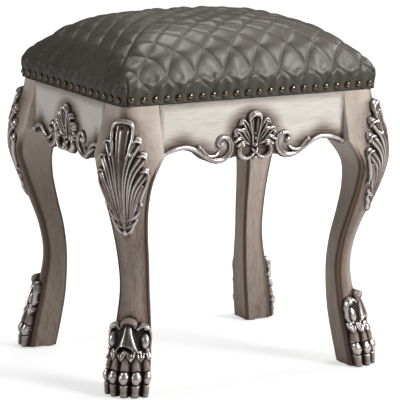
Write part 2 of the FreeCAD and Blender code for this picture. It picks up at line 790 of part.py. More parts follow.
def apron_set():
    """Four aprons, each with its pair of scrolls and its cartouche."""
    cartouche = make_cartouche()
    front = apron_lines("dims.frame_width", "front_crest_inset", "front_trough")
    flank = apron_lines("dims.frame_depth", "side_crest_inset", "side_trough")
    sides = {
        "front": (front, ("0", "-dims.frame_depth / 2", "0"), 0),
        "rear": (front, ("0", "dims.frame_depth / 2", "0"), 180),
        "left": (flank, ("-dims.frame_width / 2", "0", "0"), 270),
        "right": (flank, ("dims.frame_width / 2", "0", "0"), 90),
    }
    for name, (line, position, turn) in sides.items():
        keep(place(make_apron(f"apron_{name}", line), position, turn))
        keep(place(make_scroll(f"scroll_{name}_a", line, -1), position, turn))
        keep(place(make_scroll(f"scroll_{name}_b", line, 1), position, turn))
        crest = code_solid(f"cartouche_{name}", cartouche.Shape)
        keep(place(crest, position, turn))


def revolved(name, points):
    """Turned piece: a profile of radius and height expressions about Z."""
    body = new_body(name)
    profile = sketch_on(body, f"{name}_profile", "XZ_Plane")
    draw(profile, points)
    turn = body.newObject("PartDesign::Revolution", f"{name}_turned")
    turn.Profile = profile
    turn.ReferenceAxis = (profile, ["V_Axis"])
    turn.Angle = 360
    doc.recompute()
    return body


def group(label, pattern, placements):
    """Copies of one small piece, kept together in one sub-part."""
    solids = []
    for placement in placements:
        copy = pattern.Shape.copy()
        copy.Placement = placement
        solids.append(copy)
    return keep(code_solid(label, Part.makeCompound(solids)))


def corner_places():
    """Position and turn of the block's inner corner at each leg."""
    for x, y, turn in CORNERS.values():
        position = Vector(float(sheet.evalExpression(x)), float(sheet.evalExpression(y)), 0)
        yield Placement(position, Rotation(Vector(0, 0, 1), turn))


def in_corners(places):
    """Repeat places given beside one leg block at all four."""
    return [corner.multiply(inside) for corner in corner_places() for inside in places]


def make_dowels():
    dowel = doc.addObject("Part::Cylinder", "dowel_pattern")
    dowel.setExpression("Radius", "dims.dowel_diameter / 2")
    dowel.setExpression("Height", "dims.dowel_length")
    doc.recompute()
    centre = size("leg_block") - size("apron_thick") / 2
    start = -size("dowel_length") / 2
    places = []
    for drop in ("dowel_low_drop", "dowel_high_drop"):
        height = size("block_top_height") - size(drop)
        places.append(Placement(Vector(start, centre, height), Rotation(Vector(0, 0, 1), Vector(1, 0, 0))))
        places.append(Placement(Vector(centre, start, height), Rotation(Vector(0, 0, 1), Vector(0, 1, 0))))
    group("rail_dowels", dowel, in_corners(places))


def on_diagonal(along, height):
    """Place on a leg's diagonal, with Z pointing out along it."""
    step = along / math.sqrt(2)
    return Placement(Vector(step, step, height), Rotation(Vector(0, 0, 1), Vector(1, 1, 0)))


def make_corner_blocks():
    """Corner brace across the aprons, bored for the bolt and the screws."""
    block = new_body("brace_pattern")
    outline = sketch_on(block, "brace_outline", "XY_Plane", "dims.block_top_height")
    draw(outline, [
        (RAIL_FACE, f"{BRACE_NEAR} - {RAIL_FACE}"),
        (RAIL_FACE, f"{BRACE_FAR} - {RAIL_FACE}"),
        (f"{BRACE_FAR} - {RAIL_FACE}", RAIL_FACE),
        (f"{BRACE_NEAR} - {RAIL_FACE}", RAIL_FACE),
    ])
    pad(block, outline, "dims.corner_height", back=True)
    head = "dims.screw_head_diameter + 2 * dims.screw_clearance"
    along = "-dims.block_screw_reach"
    for name, role, sign, outward in (("x", "YZ_Plane", "", True), ("y", "XZ_Plane", "-", False)):
        seat = f"{sign}({RAIL_FACE} - dims.screw_grip)"
        bore = sketch_on(block, f"bore_{name}", role, seat)
        draw_circle(bore, along, BOLT_HEIGHT, SCREW_HOLE)
        pocket(block, bore, "dims.leg_block", back=outward)
        sink = sketch_on(block, f"sink_{name}", role, seat)
        draw_circle(sink, along, BOLT_HEIGHT, head)
        pocket(block, sink, "dims.frame_width", back=not outward)
    underside = "dims.block_top_height - dims.corner_height"
    for number, (x, y) in enumerate(seat_screw_spots()):
        bore = sketch_on(block, f"seat_bore{number}", "XY_Plane", underside)
        draw_circle(bore, x, y, SCREW_HOLE)
        pocket(block, bore, "dims.corner_height", back=True)
    bolt = doc.addObject("Part::Cylinder", "brace_bolt_bore")
    bolt.setExpression("Radius", "dims.bolt_diameter / 2 + dims.bolt_clearance")
    bolt.setExpression("Height", "2 * dims.frame_width")
    bolt.Placement = on_diagonal(-size("frame_width"), 0)
    bolt.setExpression("Placement.Base.z", BOLT_HEIGHT)
    bored = doc.addObject("Part::Cut", "brace_bored")
    bored.Base = block
    bored.Tool = bolt
    doc.recompute()
    at_corners("corner_block", bored)


def seat_screw_spots():
    """Two places on each corner block, either side of its bolt."""
    middle = f"({BRACE_NEAR} + {BRACE_FAR}) / 4"
    across = "dims.seat_screw_offset / sqrt(2)"
    more, less = f"{middle} + {across}", f"{middle} - {across}"
    return [(more, less), (less, more)]


def seat_screw_places(height):
    """The seat screws' places in all four corner blocks."""
    places = []
    for spot in seat_screw_spots():
        x, y = [float(sheet.evalExpression(text)) for text in spot]
        places.append(Placement(Vector(x, y, height), Rotation()))
    return in_corners(places)


def make_bolts():
    """Hanger bolt, washer and nut that draw each leg to its corner block."""
    near = size("block_chamfer") / math.sqrt(2)
    far = near - size("corner_gap") - size("corner_width")
    height = size("block_top_height") - size("corner_height") / 2
    tail = far - size("washer_thick") - size("nut_height") - size("bolt_tail")

    bolt = doc.addObject("Part::Cylinder", "bolt_pattern")
    bolt.setExpression("Radius", "dims.bolt_diameter / 2")
    bolt.Height = near + size("bolt_in_leg") - tail
    hole = "dims.bolt_diameter / 2 + dims.bolt_clearance"
    washer = revolved("washer_pattern", [
        (hole, "0"),
        ("dims.washer_diameter / 2", "0"),
        ("dims.washer_diameter / 2", "dims.washer_thick"),
        (hole, "dims.washer_thick"),
    ])
    nut = new_body("nut_pattern")
    flats = sketch_on(nut, "nut_flats", "XY_Plane")
    corner = "dims.nut_width / sqrt(3)"
    draw(flats, [(f"{corner} * {c}", f"{corner} * {s}") for c, s in
                 (("1", "0"), ("0.5", "sqrt(0.75)"), ("(-0.5)", "sqrt(0.75)"),
                  ("(-1)", "0"), ("(-0.5)", "(-sqrt(0.75))"), ("0.5", "(-sqrt(0.75))"))])
    pad(nut, flats, "dims.nut_height")
    thread = sketch_on(nut, "nut_thread", "XY_Plane")
    draw_circle(thread, "0", "0", f"2 * ({hole})")
    pocket(nut, thread, "dims.nut_height", back=True)
    doc.recompute()
    group("hanger_bolts", bolt, in_corners([on_diagonal(tail, height)]))
    group("bolt_washers", washer, in_corners([on_diagonal(far - size("washer_thick"), height)]))
    nut_at = far - size("washer_thick") - size("nut_height")
    group("bolt_nuts", nut, in_corners([on_diagonal(nut_at, height)]))


def make_screw(name, grip):
    """Pan-head wood screw: its head under Z = 0, its shank up through grip."""
    shank = "dims.screw_diameter / 2"
    length = f"({grip} + dims.screw_bite)"
    return revolved(name, [
        ("0", "-dims.screw_head_height"),
        ("dims.screw_head_diameter / 2", "-dims.screw_head_height"),
        ("dims.screw_head_diameter / 2", "0"),
        (shank, "0"),
        (shank, f"{length} - dims.screw_diameter"),
        ("0", length),
    ])


def make_screws():
    """Screws from the corner blocks into the aprons and the seat board."""
    height = size("block_top_height") - size("corner_height") / 2
    seat = size("leg_block") - size("apron_thick") - size("screw_grip")
    reach = -size("block_screw_reach")
    places = [
        Placement(Vector(seat, reach, height), Rotation(Vector(0, 0, 1), Vector(1, 0, 0))),
        Placement(Vector(reach, seat, height), Rotation(Vector(0, 0, 1), Vector(0, 1, 0))),
    ]
    group("block_screws", make_screw("block_screw_pattern", "dims.screw_grip"), in_corners(places))
    underside = size("block_top_height") - size("corner_height")
    seat_screw = make_screw("seat_screw_pattern", "dims.corner_height")
    group("seat_screws", seat_screw, seat_screw_places(underside))


def make_glides():
    """Nylon glide with a drive-in pin under each leg."""
    pin = "dims.glide_pin_diameter / 2"
    rim = "dims.glide_diameter / 2"
    glide = revolved("glide_pattern", [
        ("0", "0"),
        (rim, "0"),
        (rim, "dims.sole_height"),
        (pin, "dims.sole_height"),
        (pin, "dims.sole_height + dims.glide_pin_length"),
        ("0", "dims.sole_height + dims.glide_pin_length"),
    ])
    under = size("leg_block") + size("sole_bow") - size("sole_round")
    for corner, inside in zip(CORNERS, in_corners([Placement(Vector(under, under, 0), Rotation())])):
        node = keep(code_solid(f"glide_{corner}", glide.Shape))
        node.Placement = inside


# Seat: the same rings and dome serve the cover, its filling and the board
class Seat:
    """Half sizes and heights of the seat, drawn in by an offset all round."""

    def __init__(self, offset=0, pillow=0, step=1):
        self.offset = offset
        self.pillow = pillow
        self.step = step
        self.half = [size(across) / 2 + size("seat_overhang") for across in ("frame_width", "frame_depth")]
        self.cells = (2 * count("quilt_columns"), 2 * count("quilt_rows"))
        self.base = size("block_top_height")
        self.board_top = self.base + size("board_thick")
        self.band_top = self.board_top + size("band_margin")
        self.shoulder = self.base + size("shoulder_rise")

    def share(self, column, row):
        return -1 + 2 * column / self.cells[0], -1 + 2 * row / self.cells[1]

    def dome(self, column, row):
        """Point of the domed top: rounded edge, full crown, raised diamonds."""
        inset = size("edge_radius") * (1 - math.sqrt(0.5))
        shares = self.share(column, row)
        at = [share * (half - inset) for share, half in zip(shares, self.half)]
        gap = min(half - abs(value) for half, value in zip(self.half, at)) / size("edge_radius")
        edge = size("edge_radius") * math.sqrt(1 - (1 - min(gap, 1)) ** 2)
        full = [1 - (abs(value) / half) ** size("crown_fullness") for half, value in zip(self.half, at)]
        height = self.shoulder + edge + size("crown_rise") * full[0] * full[1]
        inside = abs(shares[0]) < 1 and abs(shares[1]) < 1
        if inside and (column + row) % 2 == 0:
            height += self.pillow
        x, y = [value * (half - self.offset) / half for value, half in zip(at, self.half)]
        return Vector(x, y, height - self.offset)

    def border(self):
        """Grid places round the edge, each corner twice, anticlockwise."""
        wide, deep = self.cells
        loop = [(column, 0) for column in range(0, wide + 1, self.step)]
        loop += [(wide, row) for row in range(0, deep + 1, self.step)]
        loop += [(column, deep) for column in range(wide, -1, -self.step)]
        loop += [(0, row) for row in range(deep, -1, -self.step)]
        return loop

    def ring(self, draw_in, height):
        """Outline of the side wall at one height, with its corners cut."""
        wide, deep = [half - self.offset - draw_in for half in self.half]
        points = []
        loop = self.border()
        for number, (column, row) in enumerate(loop):
            x, y = self.share(column, row)
            point = Vector(x * wide, y * deep, height)
            if (column, row) in (loop[number - 1], loop[(number + 1) % len(loop)]):
                ahead = loop[(number + 1) % len(loop)] == (column, row)
                beside = loop[number - 1] if ahead else loop[(number + 1) % len(loop)]
                toward = Vector(*[a - b for a, b in zip(beside, (column, row))], 0)
                point += toward.normalize() * size("corner_cut")
            points.append(point)
        return points

    def top_faces(self):
        """Two facets per half diamond, creased along the quilting lines and through each corner."""
        faces = []
        for column in range(0, self.cells[0], self.step):
            for row in range(0, self.cells[1], self.step):
                near, far = column + self.step, row + self.step
                corners = [(column, row), (near, row), (near, far), (column, far)]
                a, b, c, d = [self.dome(*corner) for corner in corners]
                creased = ((column + row) // self.step) % 2 == 1
                if column in (0, self.cells[0] - self.step) and row in (0, self.cells[1] - self.step):
                    creased = (column == 0) == (row == 0)
                faces += [(a, b, c), (a, c, d)] if creased else [(a, b, d), (b, c, d)]
        return faces

    def solid(self, floor):
        """Closed solid from the dome down to one of the seat's heights."""
        bottom = getattr(self, floor)
        edge = [self.dome(*at) for at in self.border()]
        draw_in = size("band_draw")
        levels = [(0, self.shoulder), (draw_in, self.band_top), (draw_in, bottom)]
        rings = [edge] + [self.ring(*level) for level in levels]
        faces = self.top_faces() + [rings[-1]]
        for upper, lower in zip(rings, rings[1:]):
            faces += band_faces(lower, upper)
        return flat_solid(faces)


def nail_places():
    """Evenly spaced nails round the seat, Z pointing out of the leather."""
    height = size("block_top_height") + size("nail_height")
    out = size("seat_overhang") - size("band_draw")
    wide = size("frame_width") / 2 + out
    deep = size("frame_depth") / 2 + out
    places = []
    for half, away, nails, turn in ((wide, deep, "nails_front", 0), (deep, wide, "nails_side", 90)):
        reach = half - size("nail_corner_inset")
        for number in range(count(nails)):
            along = -reach + 2 * reach * number / (count(nails) - 1)
            for side in (0, 180):
                spin = Rotation(Vector(0, 0, 1), turn + side)
                outward = Rotation(Vector(0, 0, 1), Vector(0, -1, 0))
                position = spin.multVec(Vector(along, -away, height))
                places.append(Placement(position, spin.multiply(outward)))
    return places


def make_nails():
    """Domed nails with square shanks; returns the bores that they need."""
    nail = new_body("nail_pattern")
    rings = []
    for number, (width, rise) in enumerate(NAIL_DOME):
        ring = sketch_on(nail, f"nail_ring{number}", "XY_Plane", f"dims.nail_rise * {rise}")
        rings.append(draw(ring, octagon(f"dims.nail_diameter / 2 * {width}")))
    loft(nail, "nail_head", rings)
    shank = sketch_on(nail, "nail_square", "XY_Plane")
    edge = "dims.nail_shank / 2"
    draw(shank, [(edge, edge), (f"-{edge}", edge), (f"-{edge}", f"-{edge}"), (edge, f"-{edge}")])
    pad(nail, shank, "dims.nail_shank_length", back=True)
    places = nail_places()
    group("nails", nail, places)
    width = size("nail_shank") + 2 * size("nail_clearance")
    depth = size("nail_shank_length") + size("nail_clearance")
    bores = []
    for placement in places:
        bore = Part.makeBox(width, width, 2 * depth, Vector(-width / 2, -width / 2, -depth))
        bore.Placement = placement.multiply(bore.Placement)
        bores.append(bore)
    return code_solid("nail_bores", Part.makeCompound(bores))


def bored_for_nails(label, base, bores):
    node = doc.addObject("Part::Cut", label)
    node.Label = label
    node.Base = base
    node.Tool = bores
    doc.recompute()
    return keep(node)


def make_seat():
    """Seat board, domed filling and quilted cover, nailed along the board."""
    bores = make_nails()

    board = new_body("board_pattern")
    outline = sketch_on(board, "board_outline", "XY_Plane", "dims.block_top_height")
    draw_in = "(dims.seat_overhang - dims.band_draw - dims.cover_thick - dims.seat_clearance)"
    wide = f"(dims.frame_width / 2 + {draw_in})"
    deep = f"(dims.frame_depth / 2 + {draw_in})"
    draw(outline, cut_corners(wide, deep, "dims.corner_cut"))
    pad(board, outline, "dims.board_thick")
    for number, spot in enumerate(seat_screw_places(0)):
        pilot = sketch_on(board, f"seat_pilot{number}", "XY_Plane", "dims.block_top_height")
        draw_circle(pilot, str(spot.Base.x), str(spot.Base.y), SCREW_HOLE)
        pocket(board, pilot, "dims.screw_bite + dims.screw_clearance", back=True)
    bored_for_nails("seat_board", board, bores)

    gap = size("cover_thick") + size("seat_clearance")
    keep(code_solid("seat_foam", Seat(offset=gap, step=2).solid("board_top")))

    skin = doc.addObject("Part::Cut", "cover_skin")
    skin.Base = code_solid("cover_outside", Seat(pillow=size("quilt_pillow")).solid("base"))
    skin.Tool = code_solid("cover_inside", Seat(offset=size("cover_thick"), step=2).solid("base"))
    doc.recompute()
    bored_for_nails("seat_cover", skin, bores)


def make_dust_cover():
    """Thin cloth under the seat board, between the aprons."""
    cloth = new_body("dust_cover")
    wide = "(dims.frame_width / 2 - dims.apron_thick - dims.dust_clearance)"
    deep = "(dims.frame_depth / 2 - dims.apron_thick - dims.dust_clearance)"
    cut = f"({RAIL_FACE} * 2 - dims.dust_clearance * 2 - {BRACE_FAR} + dims.dust_clearance)"
    outline = sketch_on(cloth, "dust_outline", "XY_Plane", "dims.block_top_height")
    draw(outline, cut_corners(wide, deep, cut))
    pad(cloth, outline, "dims.dust_thick", back=True)
    keep(cloth)


fill_sheet()
leg = make_leg()
at_corners("leg", leg)
at_corners("knee_carving", make_knee_carving(leg))
at_corners("paw_carving", make_paw(leg))
apron_set()
make_dowels()
make_corner_blocks()
make_bolts()
make_screws()
make_glides()
make_seat()
make_dust_cover()

doc.recompute()
for item in doc.Objects:
    if "Invalid" in item.State or "Error" in item.State:
        raise RuntimeError(f"{item.Label} failed: {item.State}")
os.makedirs("parts", exist_ok=True)
for node in NODES:
    if node.Shape.isNull() or not node.Shape.isValid():
        raise RuntimeError(f"{node.Label} has no valid solid")
    node.Shape.exportStep(f"parts/{node.Label}.step")
    print(node.Label, len(node.Shape.Solids), round(node.Shape.Volume))
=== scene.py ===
# %% [markdown]
# # A vanity stool with cabriole legs and a quilted seat
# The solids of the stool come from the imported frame. This lesson dresses them: smooth legs,
# carved leaves and paws, a quilted leather seat, brass nails, and finishes made from nodes.
# All sizes are in millimetres until a mesh is made, because that is how a joiner measures.

# %% Load the frame
import math

import bmesh
import bpy
import numpy as np
from mathutils import Matrix, Vector


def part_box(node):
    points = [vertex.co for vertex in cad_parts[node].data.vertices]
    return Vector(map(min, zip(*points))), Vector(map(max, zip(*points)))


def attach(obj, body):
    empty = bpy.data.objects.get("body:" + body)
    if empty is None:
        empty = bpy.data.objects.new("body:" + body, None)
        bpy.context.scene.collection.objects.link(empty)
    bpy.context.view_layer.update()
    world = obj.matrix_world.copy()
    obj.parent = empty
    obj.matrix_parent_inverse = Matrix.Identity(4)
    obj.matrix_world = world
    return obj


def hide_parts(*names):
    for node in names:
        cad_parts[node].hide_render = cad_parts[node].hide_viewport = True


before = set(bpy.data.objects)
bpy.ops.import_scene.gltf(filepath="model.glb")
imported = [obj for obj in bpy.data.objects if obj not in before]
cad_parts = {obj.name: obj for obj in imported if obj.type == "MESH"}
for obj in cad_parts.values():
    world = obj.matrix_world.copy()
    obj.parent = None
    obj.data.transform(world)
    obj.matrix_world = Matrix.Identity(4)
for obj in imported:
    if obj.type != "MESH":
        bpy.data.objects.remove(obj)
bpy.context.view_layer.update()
MM = 0.001
print("nodes in the frame:", len(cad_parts))

# %% [markdown]
# ## Sizes that several pieces share
# The stool is symmetric, so one leg and one half of an apron describe the rest. The leg's
# own frame has its origin at the inner corner of the square block, with X and Y pointing out.

# %% Shared sizes
FRAME_WIDTH, FRAME_DEPTH, FRAME_TOP = 419.0, 357.0, 418.0
LEG_BLOCK = 59.0
CORNERS = {"rear_right": 0, "rear_left": 90, "front_left": 180, "front_right": 270}
APRONS = {"front": 0, "right": 90, "rear": 180, "left": 270}


def corner_matrix(name):
    """Turn and move a piece from the leg's frame to one corner of the stool."""
    x = (FRAME_WIDTH / 2 - LEG_BLOCK) * (1 if "right" in name else -1)
    y = (FRAME_DEPTH / 2 - LEG_BLOCK) * (1 if "rear" in name else -1)
    return Matrix.Translation((x * MM, y * MM, 0)) @ Matrix.Rotation(math.radians(CORNERS[name]), 4, "Z")


def apron_matrix(name):
    """Move a relief, drawn with its back on Y = 0 and facing -Y, onto an apron."""
    away = (FRAME_DEPTH if name in ("front", "rear") else FRAME_WIDTH) / 2
    turn = Matrix.Rotation(math.radians(APRONS[name]), 4, "Z")
    return turn @ Matrix.Translation((0, -away * MM, 0))


def smooth_rows(stations, steps=8):
    """Smooth curve through rows of numbers, by the Catmull-Rom rule."""
    rows = np.array(stations, float)
    padded = np.vstack([rows[:1], rows, rows[-1:]])
    share = np.arange(steps)[:, None] / steps
    out = []
    for a, b, c, d in zip(padded, padded[1:], padded[2:], padded[3:]):
        out.append(0.5 * (2 * b + (c - a) * share + (2 * a - 5 * b + 4 * c - d) * share ** 2
                          + (3 * b - a - 3 * c + d) * share ** 3))
    return np.vstack(out + [rows[-1:]])


print("corners:", list(CORNERS))

# %% [markdown]
# ## One helper that turns numbers into a mesh
# Every piece below ends as points, faces and a few attributes. An attribute is a number kept
# on each point, such as how deep in a hollow it lies, and a material can read it by name.

# %% Mesh helper
def show(name, data):
    """Object for a mesh, lamp or camera, put into the scene."""
    thing = bpy.data.objects.new(name, data)
    bpy.context.scene.collection.objects.link(thing)
    return thing


def make_mesh(name, points, faces, attributes=None, matrix=None, sharp=None):
    """Mesh object from points in millimetres, faces, and numbers kept on the points."""
    mesh = bpy.data.meshes.new(name)
    mesh.from_pydata((np.asarray(points) * MM).tolist(), [], [tuple(int(i) for i in f) for f in faces])
    for label, values in (attributes or {}).items():
        numbers = np.asarray(values, np.float32).ravel()
        mesh.attributes.new(label, "FLOAT", "POINT").data.foreach_set("value", numbers)
    if matrix is not None:
        mesh.transform(matrix)
    mesh.shade_smooth()
    if sharp:
        mesh.set_sharp_from_angle(angle=math.radians(sharp))
    mesh.validate()
    return show(name, mesh)


def dress(piece, material, slot, *nodes):
    """Give a piece its finish, fix it to the stool and hide the solids that it stands for."""
    piece.data.materials.clear()
    piece.data.materials.append(material)
    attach(piece, "root")
    if nodes:
        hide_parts(*nodes)


def grid_faces(rows, columns, keep=None, wrap=False):
    """Quads of a grid whose points run along the columns first."""
    faces = []
    for row in range(rows - 1):
        for column in range(columns if wrap else columns - 1):
            near = (column + 1) % columns
            quad = (row * columns + column, row * columns + near,
                    (row + 1) * columns + near, (row + 1) * columns + column)
            if keep is None or keep[row, column]:
                faces.append(quad)
    return faces


def grid_rim(rows, columns):
    """Row and column of each point round the outside of a grid, in order."""
    last = columns - 1
    return ([(0, c) for c in range(columns)] + [(r, last) for r in range(1, rows)]
            + [(rows - 1, c) for c in range(last - 1, -1, -1)] + [(r, 0) for r in range(rows - 2, 0, -1)])


print("helpers ready")

# %% [markdown]
# ## Finishes as node groups
# The painted wood and the silvered carving share one idea: a pale top colour, and a brown
# glaze that was wiped off the high spots and stayed in the hollows. A node group holds that
# idea once. Where it is darker comes from an attribute or from where the point lies, and on the
# legs and aprons that brown is painted shade as well as glaze; the rest comes from noise in object space.

# %% Node wiring helper
class Wiring:
    """Adds nodes to a tree; an input may be a number, a colour or another node's output."""

    def __init__(self, tree):
        self.tree = tree

    def link(self, source, target):
        self.tree.links.new(source, target)

    def add(self, kind, inputs=None, **settings):
        node = self.tree.nodes.new(kind)
        for key, value in settings.items():
            setattr(node, key, value)
        for key, value in (inputs or {}).items():
            if isinstance(value, bpy.types.NodeSocket):
                self.link(value, node.inputs[key])
            else:
                node.inputs[key].default_value = value
        return node

    def where(self):
        """Place of the shaded point on the stool, in metres."""
        return self.add("ShaderNodeTexCoord").outputs["Object"]

    def roughen(self, shader, height, strength, distance):
        """Feed a height to the shader's normal."""
        bump = self.add("ShaderNodeBump", {"Strength": strength, "Distance": distance, "Height": height})
        self.link(bump.outputs[0], shader.inputs["Normal"])

    def maths(self, operation, first, second=0.0, third=0.0, clamp=False):
        inputs = {0: first, 1: second, 2: third}
        return self.add("ShaderNodeMath", inputs, operation=operation, use_clamp=clamp).outputs[0]

    def fade(self, value, low, high):
        """0 below low, 1 above high, smooth between."""
        inputs = {0: value, 1: low, 2: high, 3: 0.0, 4: 1.0}
        return self.add("ShaderNodeMapRange", inputs, interpolation_type="SMOOTHSTEP").outputs[0]

    def mix(self, share, first, second):
        return self.add("ShaderNodeMix", {0: share, 6: first, 7: second}, data_type="RGBA").outputs[2]

    def noise(self, where, scale, detail=4.0, rough=0.6):
        inputs = {"Vector": where, "Scale": scale, "Detail": detail, "Roughness": rough}
        return self.add("ShaderNodeTexNoise", inputs).outputs[0]


def new_group(name, inputs, outputs):
    """Empty shader group with named sockets; returns its wiring, input and output nodes."""
    tree = bpy.data.node_groups.new(name, "ShaderNodeTree")
    kinds = {"c": "NodeSocketColor", "f": "NodeSocketFloat", "v": "NodeSocketVector"}
    for side, sockets in (("INPUT", inputs), ("OUTPUT", outputs)):
        for label, kind in sockets.items():
            tree.interface.new_socket(label, in_out=side, socket_type=kinds[kind])
    wiring = Wiring(tree)
    return tree, wiring, wiring.add("NodeGroupInput"), wiring.add("NodeGroupOutput")


def new_finish(name, rough, **constants):
    """Material with a Principled shader whose constant sockets are set directly."""
    material = bpy.data.materials.new(name)
    material.use_nodes = True
    wiring = Wiring(material.node_tree)
    shader = material.node_tree.nodes["Principled BSDF"]
    shader.inputs["Roughness"].default_value = rough
    for label, value in constants.items():
        shader.inputs[label.replace("_", " ")].default_value = value
    return material, wiring, shader


print("wiring ready")

# %% [markdown]
# The wood is sprayed a pearly white, brushed with brown glaze along the grain and wiped. What
# is left is fine streaks, a slow cloudiness, and solid brown wherever the rag did not reach; the same
# brown is also painted shade.
# Noise stretched along the grain gives the streaks. The coat on top is a thin clear lacquer.

# %% Glaze over a pale ground
def build_glaze():
    tree, w, given, result = new_group(
        "glaze_and_painted_shade",
        {"Where": "v", "Pale": "c", "Glaze": "c", "Darkening": "f", "Strength": "f"},
        {"Color": "c", "Roughness": "f", "Height": "f"})
    streak = w.noise(given.outputs["Where"], 1.0, 6.0, 0.65)
    blotch = w.noise(given.outputs["Where"], 0.12, 2.0)
    fine = w.fade(streak, 0.42, 0.72)
    cloud = w.fade(blotch, 0.35, 0.75)
    worn = w.maths("MULTIPLY_ADD", fine, 0.19, w.maths("MULTIPLY", cloud, 0.12))
    # Solid brown from the darkening input: glaze, and painted shade on the legs and aprons.
    glaze_and_shade = w.maths("MULTIPLY", given.outputs["Darkening"], w.maths("MULTIPLY_ADD", streak, 0.3, 0.82))
    share = w.maths("MULTIPLY", w.maths("ADD", worn, glaze_and_shade), given.outputs["Strength"], clamp=True)
    w.link(w.mix(share, given.outputs["Pale"], given.outputs["Glaze"]), result.inputs["Color"])
    w.link(w.maths("MULTIPLY_ADD", share, 0.2, 0.34), result.inputs["Roughness"])
    w.link(streak, result.inputs["Height"])
    return tree


GLAZE = build_glaze()
PALE_WOOD = (0.80, 0.745, 0.69, 1)
GLAZE_AND_SHADE_BROWN = (0.112, 0.067, 0.043, 1)
GRAIN_LINES = 420.0


def wood_finish(name, along, darkening, pale=PALE_WOOD, glaze=GLAZE_AND_SHADE_BROWN, strength=1.0, stretch=12.0):
    """Painted wood with fine grain lines along one axis; the darkening adds glaze and painted shade."""
    material, w, shader = new_finish(name, 0.4, Coat_Weight=0.22, Coat_Roughness=0.22)
    scale = [GRAIN_LINES] * 3
    scale["XYZ".index(along)] /= stretch
    mapped = w.add("ShaderNodeMapping", {"Vector": w.where(), "Scale": scale}).outputs[0]
    inputs = {"Where": mapped, "Pale": pale, "Glaze": glaze, "Darkening": darkening(w), "Strength": strength}
    glazed = w.add("ShaderNodeGroup", node_tree=GLAZE)
    for label, value in inputs.items():
        if isinstance(value, bpy.types.NodeSocket):
            w.link(value, glazed.inputs[label])
        else:
            glazed.inputs[label].default_value = value
    w.link(glazed.outputs["Color"], shader.inputs["Base Color"])
    w.link(glazed.outputs["Roughness"], shader.inputs["Roughness"])
    w.roughen(shader, glazed.outputs["Height"], 0.12, 0.0006)
    return material


def from_attribute(label):
    return lambda w: w.add("ShaderNodeAttribute", attribute_name=label).outputs["Fac"]


def no_hollow(w):
    return 0.0


print("glaze group:", GLAZE.name)

# %% [markdown]
# Brown glaze and painted shade darken an apron most just above its moulding and round its
# cartouche, and also next to the legs and under the seat. The apron is a CAD solid with no
# attributes of its own, so its material works that out from where the point lies: a ramp gives the height
# of the lower edge along the board.

# %% Apron, leg and plain wood finishes
RAMP_LOW, RAMP_SPAN = 320, 40
CARTOUCHE_MIDDLE = 362


def apron_glaze_and_shade(axis, edge_line):
    """Brown glaze and painted shade: darker over the moulding, round the cartouche, at the joints and
    under the seat.
    """
    half = edge_line[-1][0]

    def darkening(w):
        split = w.add("ShaderNodeSeparateXYZ", {0: w.where()})
        along = w.maths("ABSOLUTE", split.outputs[axis])
        height = split.outputs[2]
        ramp = w.add("ShaderNodeValToRGB", {0: w.maths("DIVIDE", along, half * MM)})
        ramp.color_ramp.interpolation = "EASE"
        for number, (place, level) in enumerate(edge_line):
            at = place / half
            stop = ramp.color_ramp.elements[number] if number < 2 else ramp.color_ramp.elements.new(at)
            stop.position = at
            stop.color = [(level - RAMP_LOW) / RAMP_SPAN] * 3 + [1]
        edge = w.maths("MULTIPLY_ADD", ramp.outputs[0], RAMP_SPAN * MM, RAMP_LOW * MM)
        # Painted contact shade with the glaze: over the moulding, round the cartouche, at the legs and
        # under the seat's overhang.
        over = w.fade(w.maths("SUBTRACT", height, edge), 0.036, 0.006)
        above = w.maths("SUBTRACT", height, CARTOUCHE_MIDDLE * MM)
        ring = w.add("ShaderNodeCombineXYZ", {0: along, 1: above}).outputs[0]
        away = w.add("ShaderNodeVectorMath", {0: ring}, operation="LENGTH").outputs["Value"]
        halo = w.maths("MULTIPLY", w.fade(away, 0.058, 0.033), 0.85)
        joint = w.fade(along, (half - 10) * MM, half * MM)
        top = w.fade(height, 0.404, 0.418)
        edges = w.maths("MULTIPLY", w.maths("MAXIMUM", joint, top), 0.55)
        return w.maths("MAXIMUM", w.maths("MAXIMUM", over, halo), edges)
    return darkening


FRONT_EDGE = [(0, 338), (58, 328), (85.75, 339.5), (113.5, 351), (150.5, 340)]
SIDE_EDGE = [(0, 338), (58, 328), (76.25, 339.5), (94.5, 351), (119.5, 340)]
# The legs' ground is darker than the aprons' pearl: partly glaze tone, partly painted shade.
LEG_PALE = (0.62, 0.525, 0.45, 1)
BEECH = {"pale": (0.50, 0.36, 0.22, 1), "glaze": (0.27, 0.17, 0.09, 1), "strength": 2.0}
VENEER = {"pale": (0.55, 0.41, 0.27, 1), "glaze": (0.33, 0.22, 0.13, 1), "strength": 2.0}
apron_long = wood_finish("pearl_wood_long", "X", apron_glaze_and_shade(0, FRONT_EDGE))
apron_short = wood_finish("pearl_wood_short", "Y", apron_glaze_and_shade(1, SIDE_EDGE))
leg_wood = wood_finish("pearl_wood_leg", "Z", from_attribute("darkening"), pale=LEG_PALE)
bare_wood = wood_finish("bare_wood", "X", no_hollow, **BEECH)
plywood = wood_finish("plywood", "X", no_hollow, **VENEER)
print("wood finishes:", [m.name for m in bpy.data.materials if "wood" in m.name])

# %% [markdown]
# ## Antique silver for the carvings
# Silver leaf was rubbed through a dark patina, so the ridges shine and the hollows are nearly
# black; the bright ridges are partly painted highlights. The attribute is 0 or less on a ridge and 1 in a
# hollow, and noise breaks the borders.
# A second attribute says where brown paint shows instead of silver, as on the paw's fingers.

# %% Silver finish
SILVER_BRIGHT = (0.86, 0.80, 0.78, 1)
SILVER_WARM, SILVER_DULL = (0.350, 0.272, 0.244, 1), (0.218, 0.152, 0.130, 1)
BROWN_PAINT = (0.210, 0.142, 0.102, 1)
BLACK_PATINA = (0.016, 0.011, 0.008, 1)


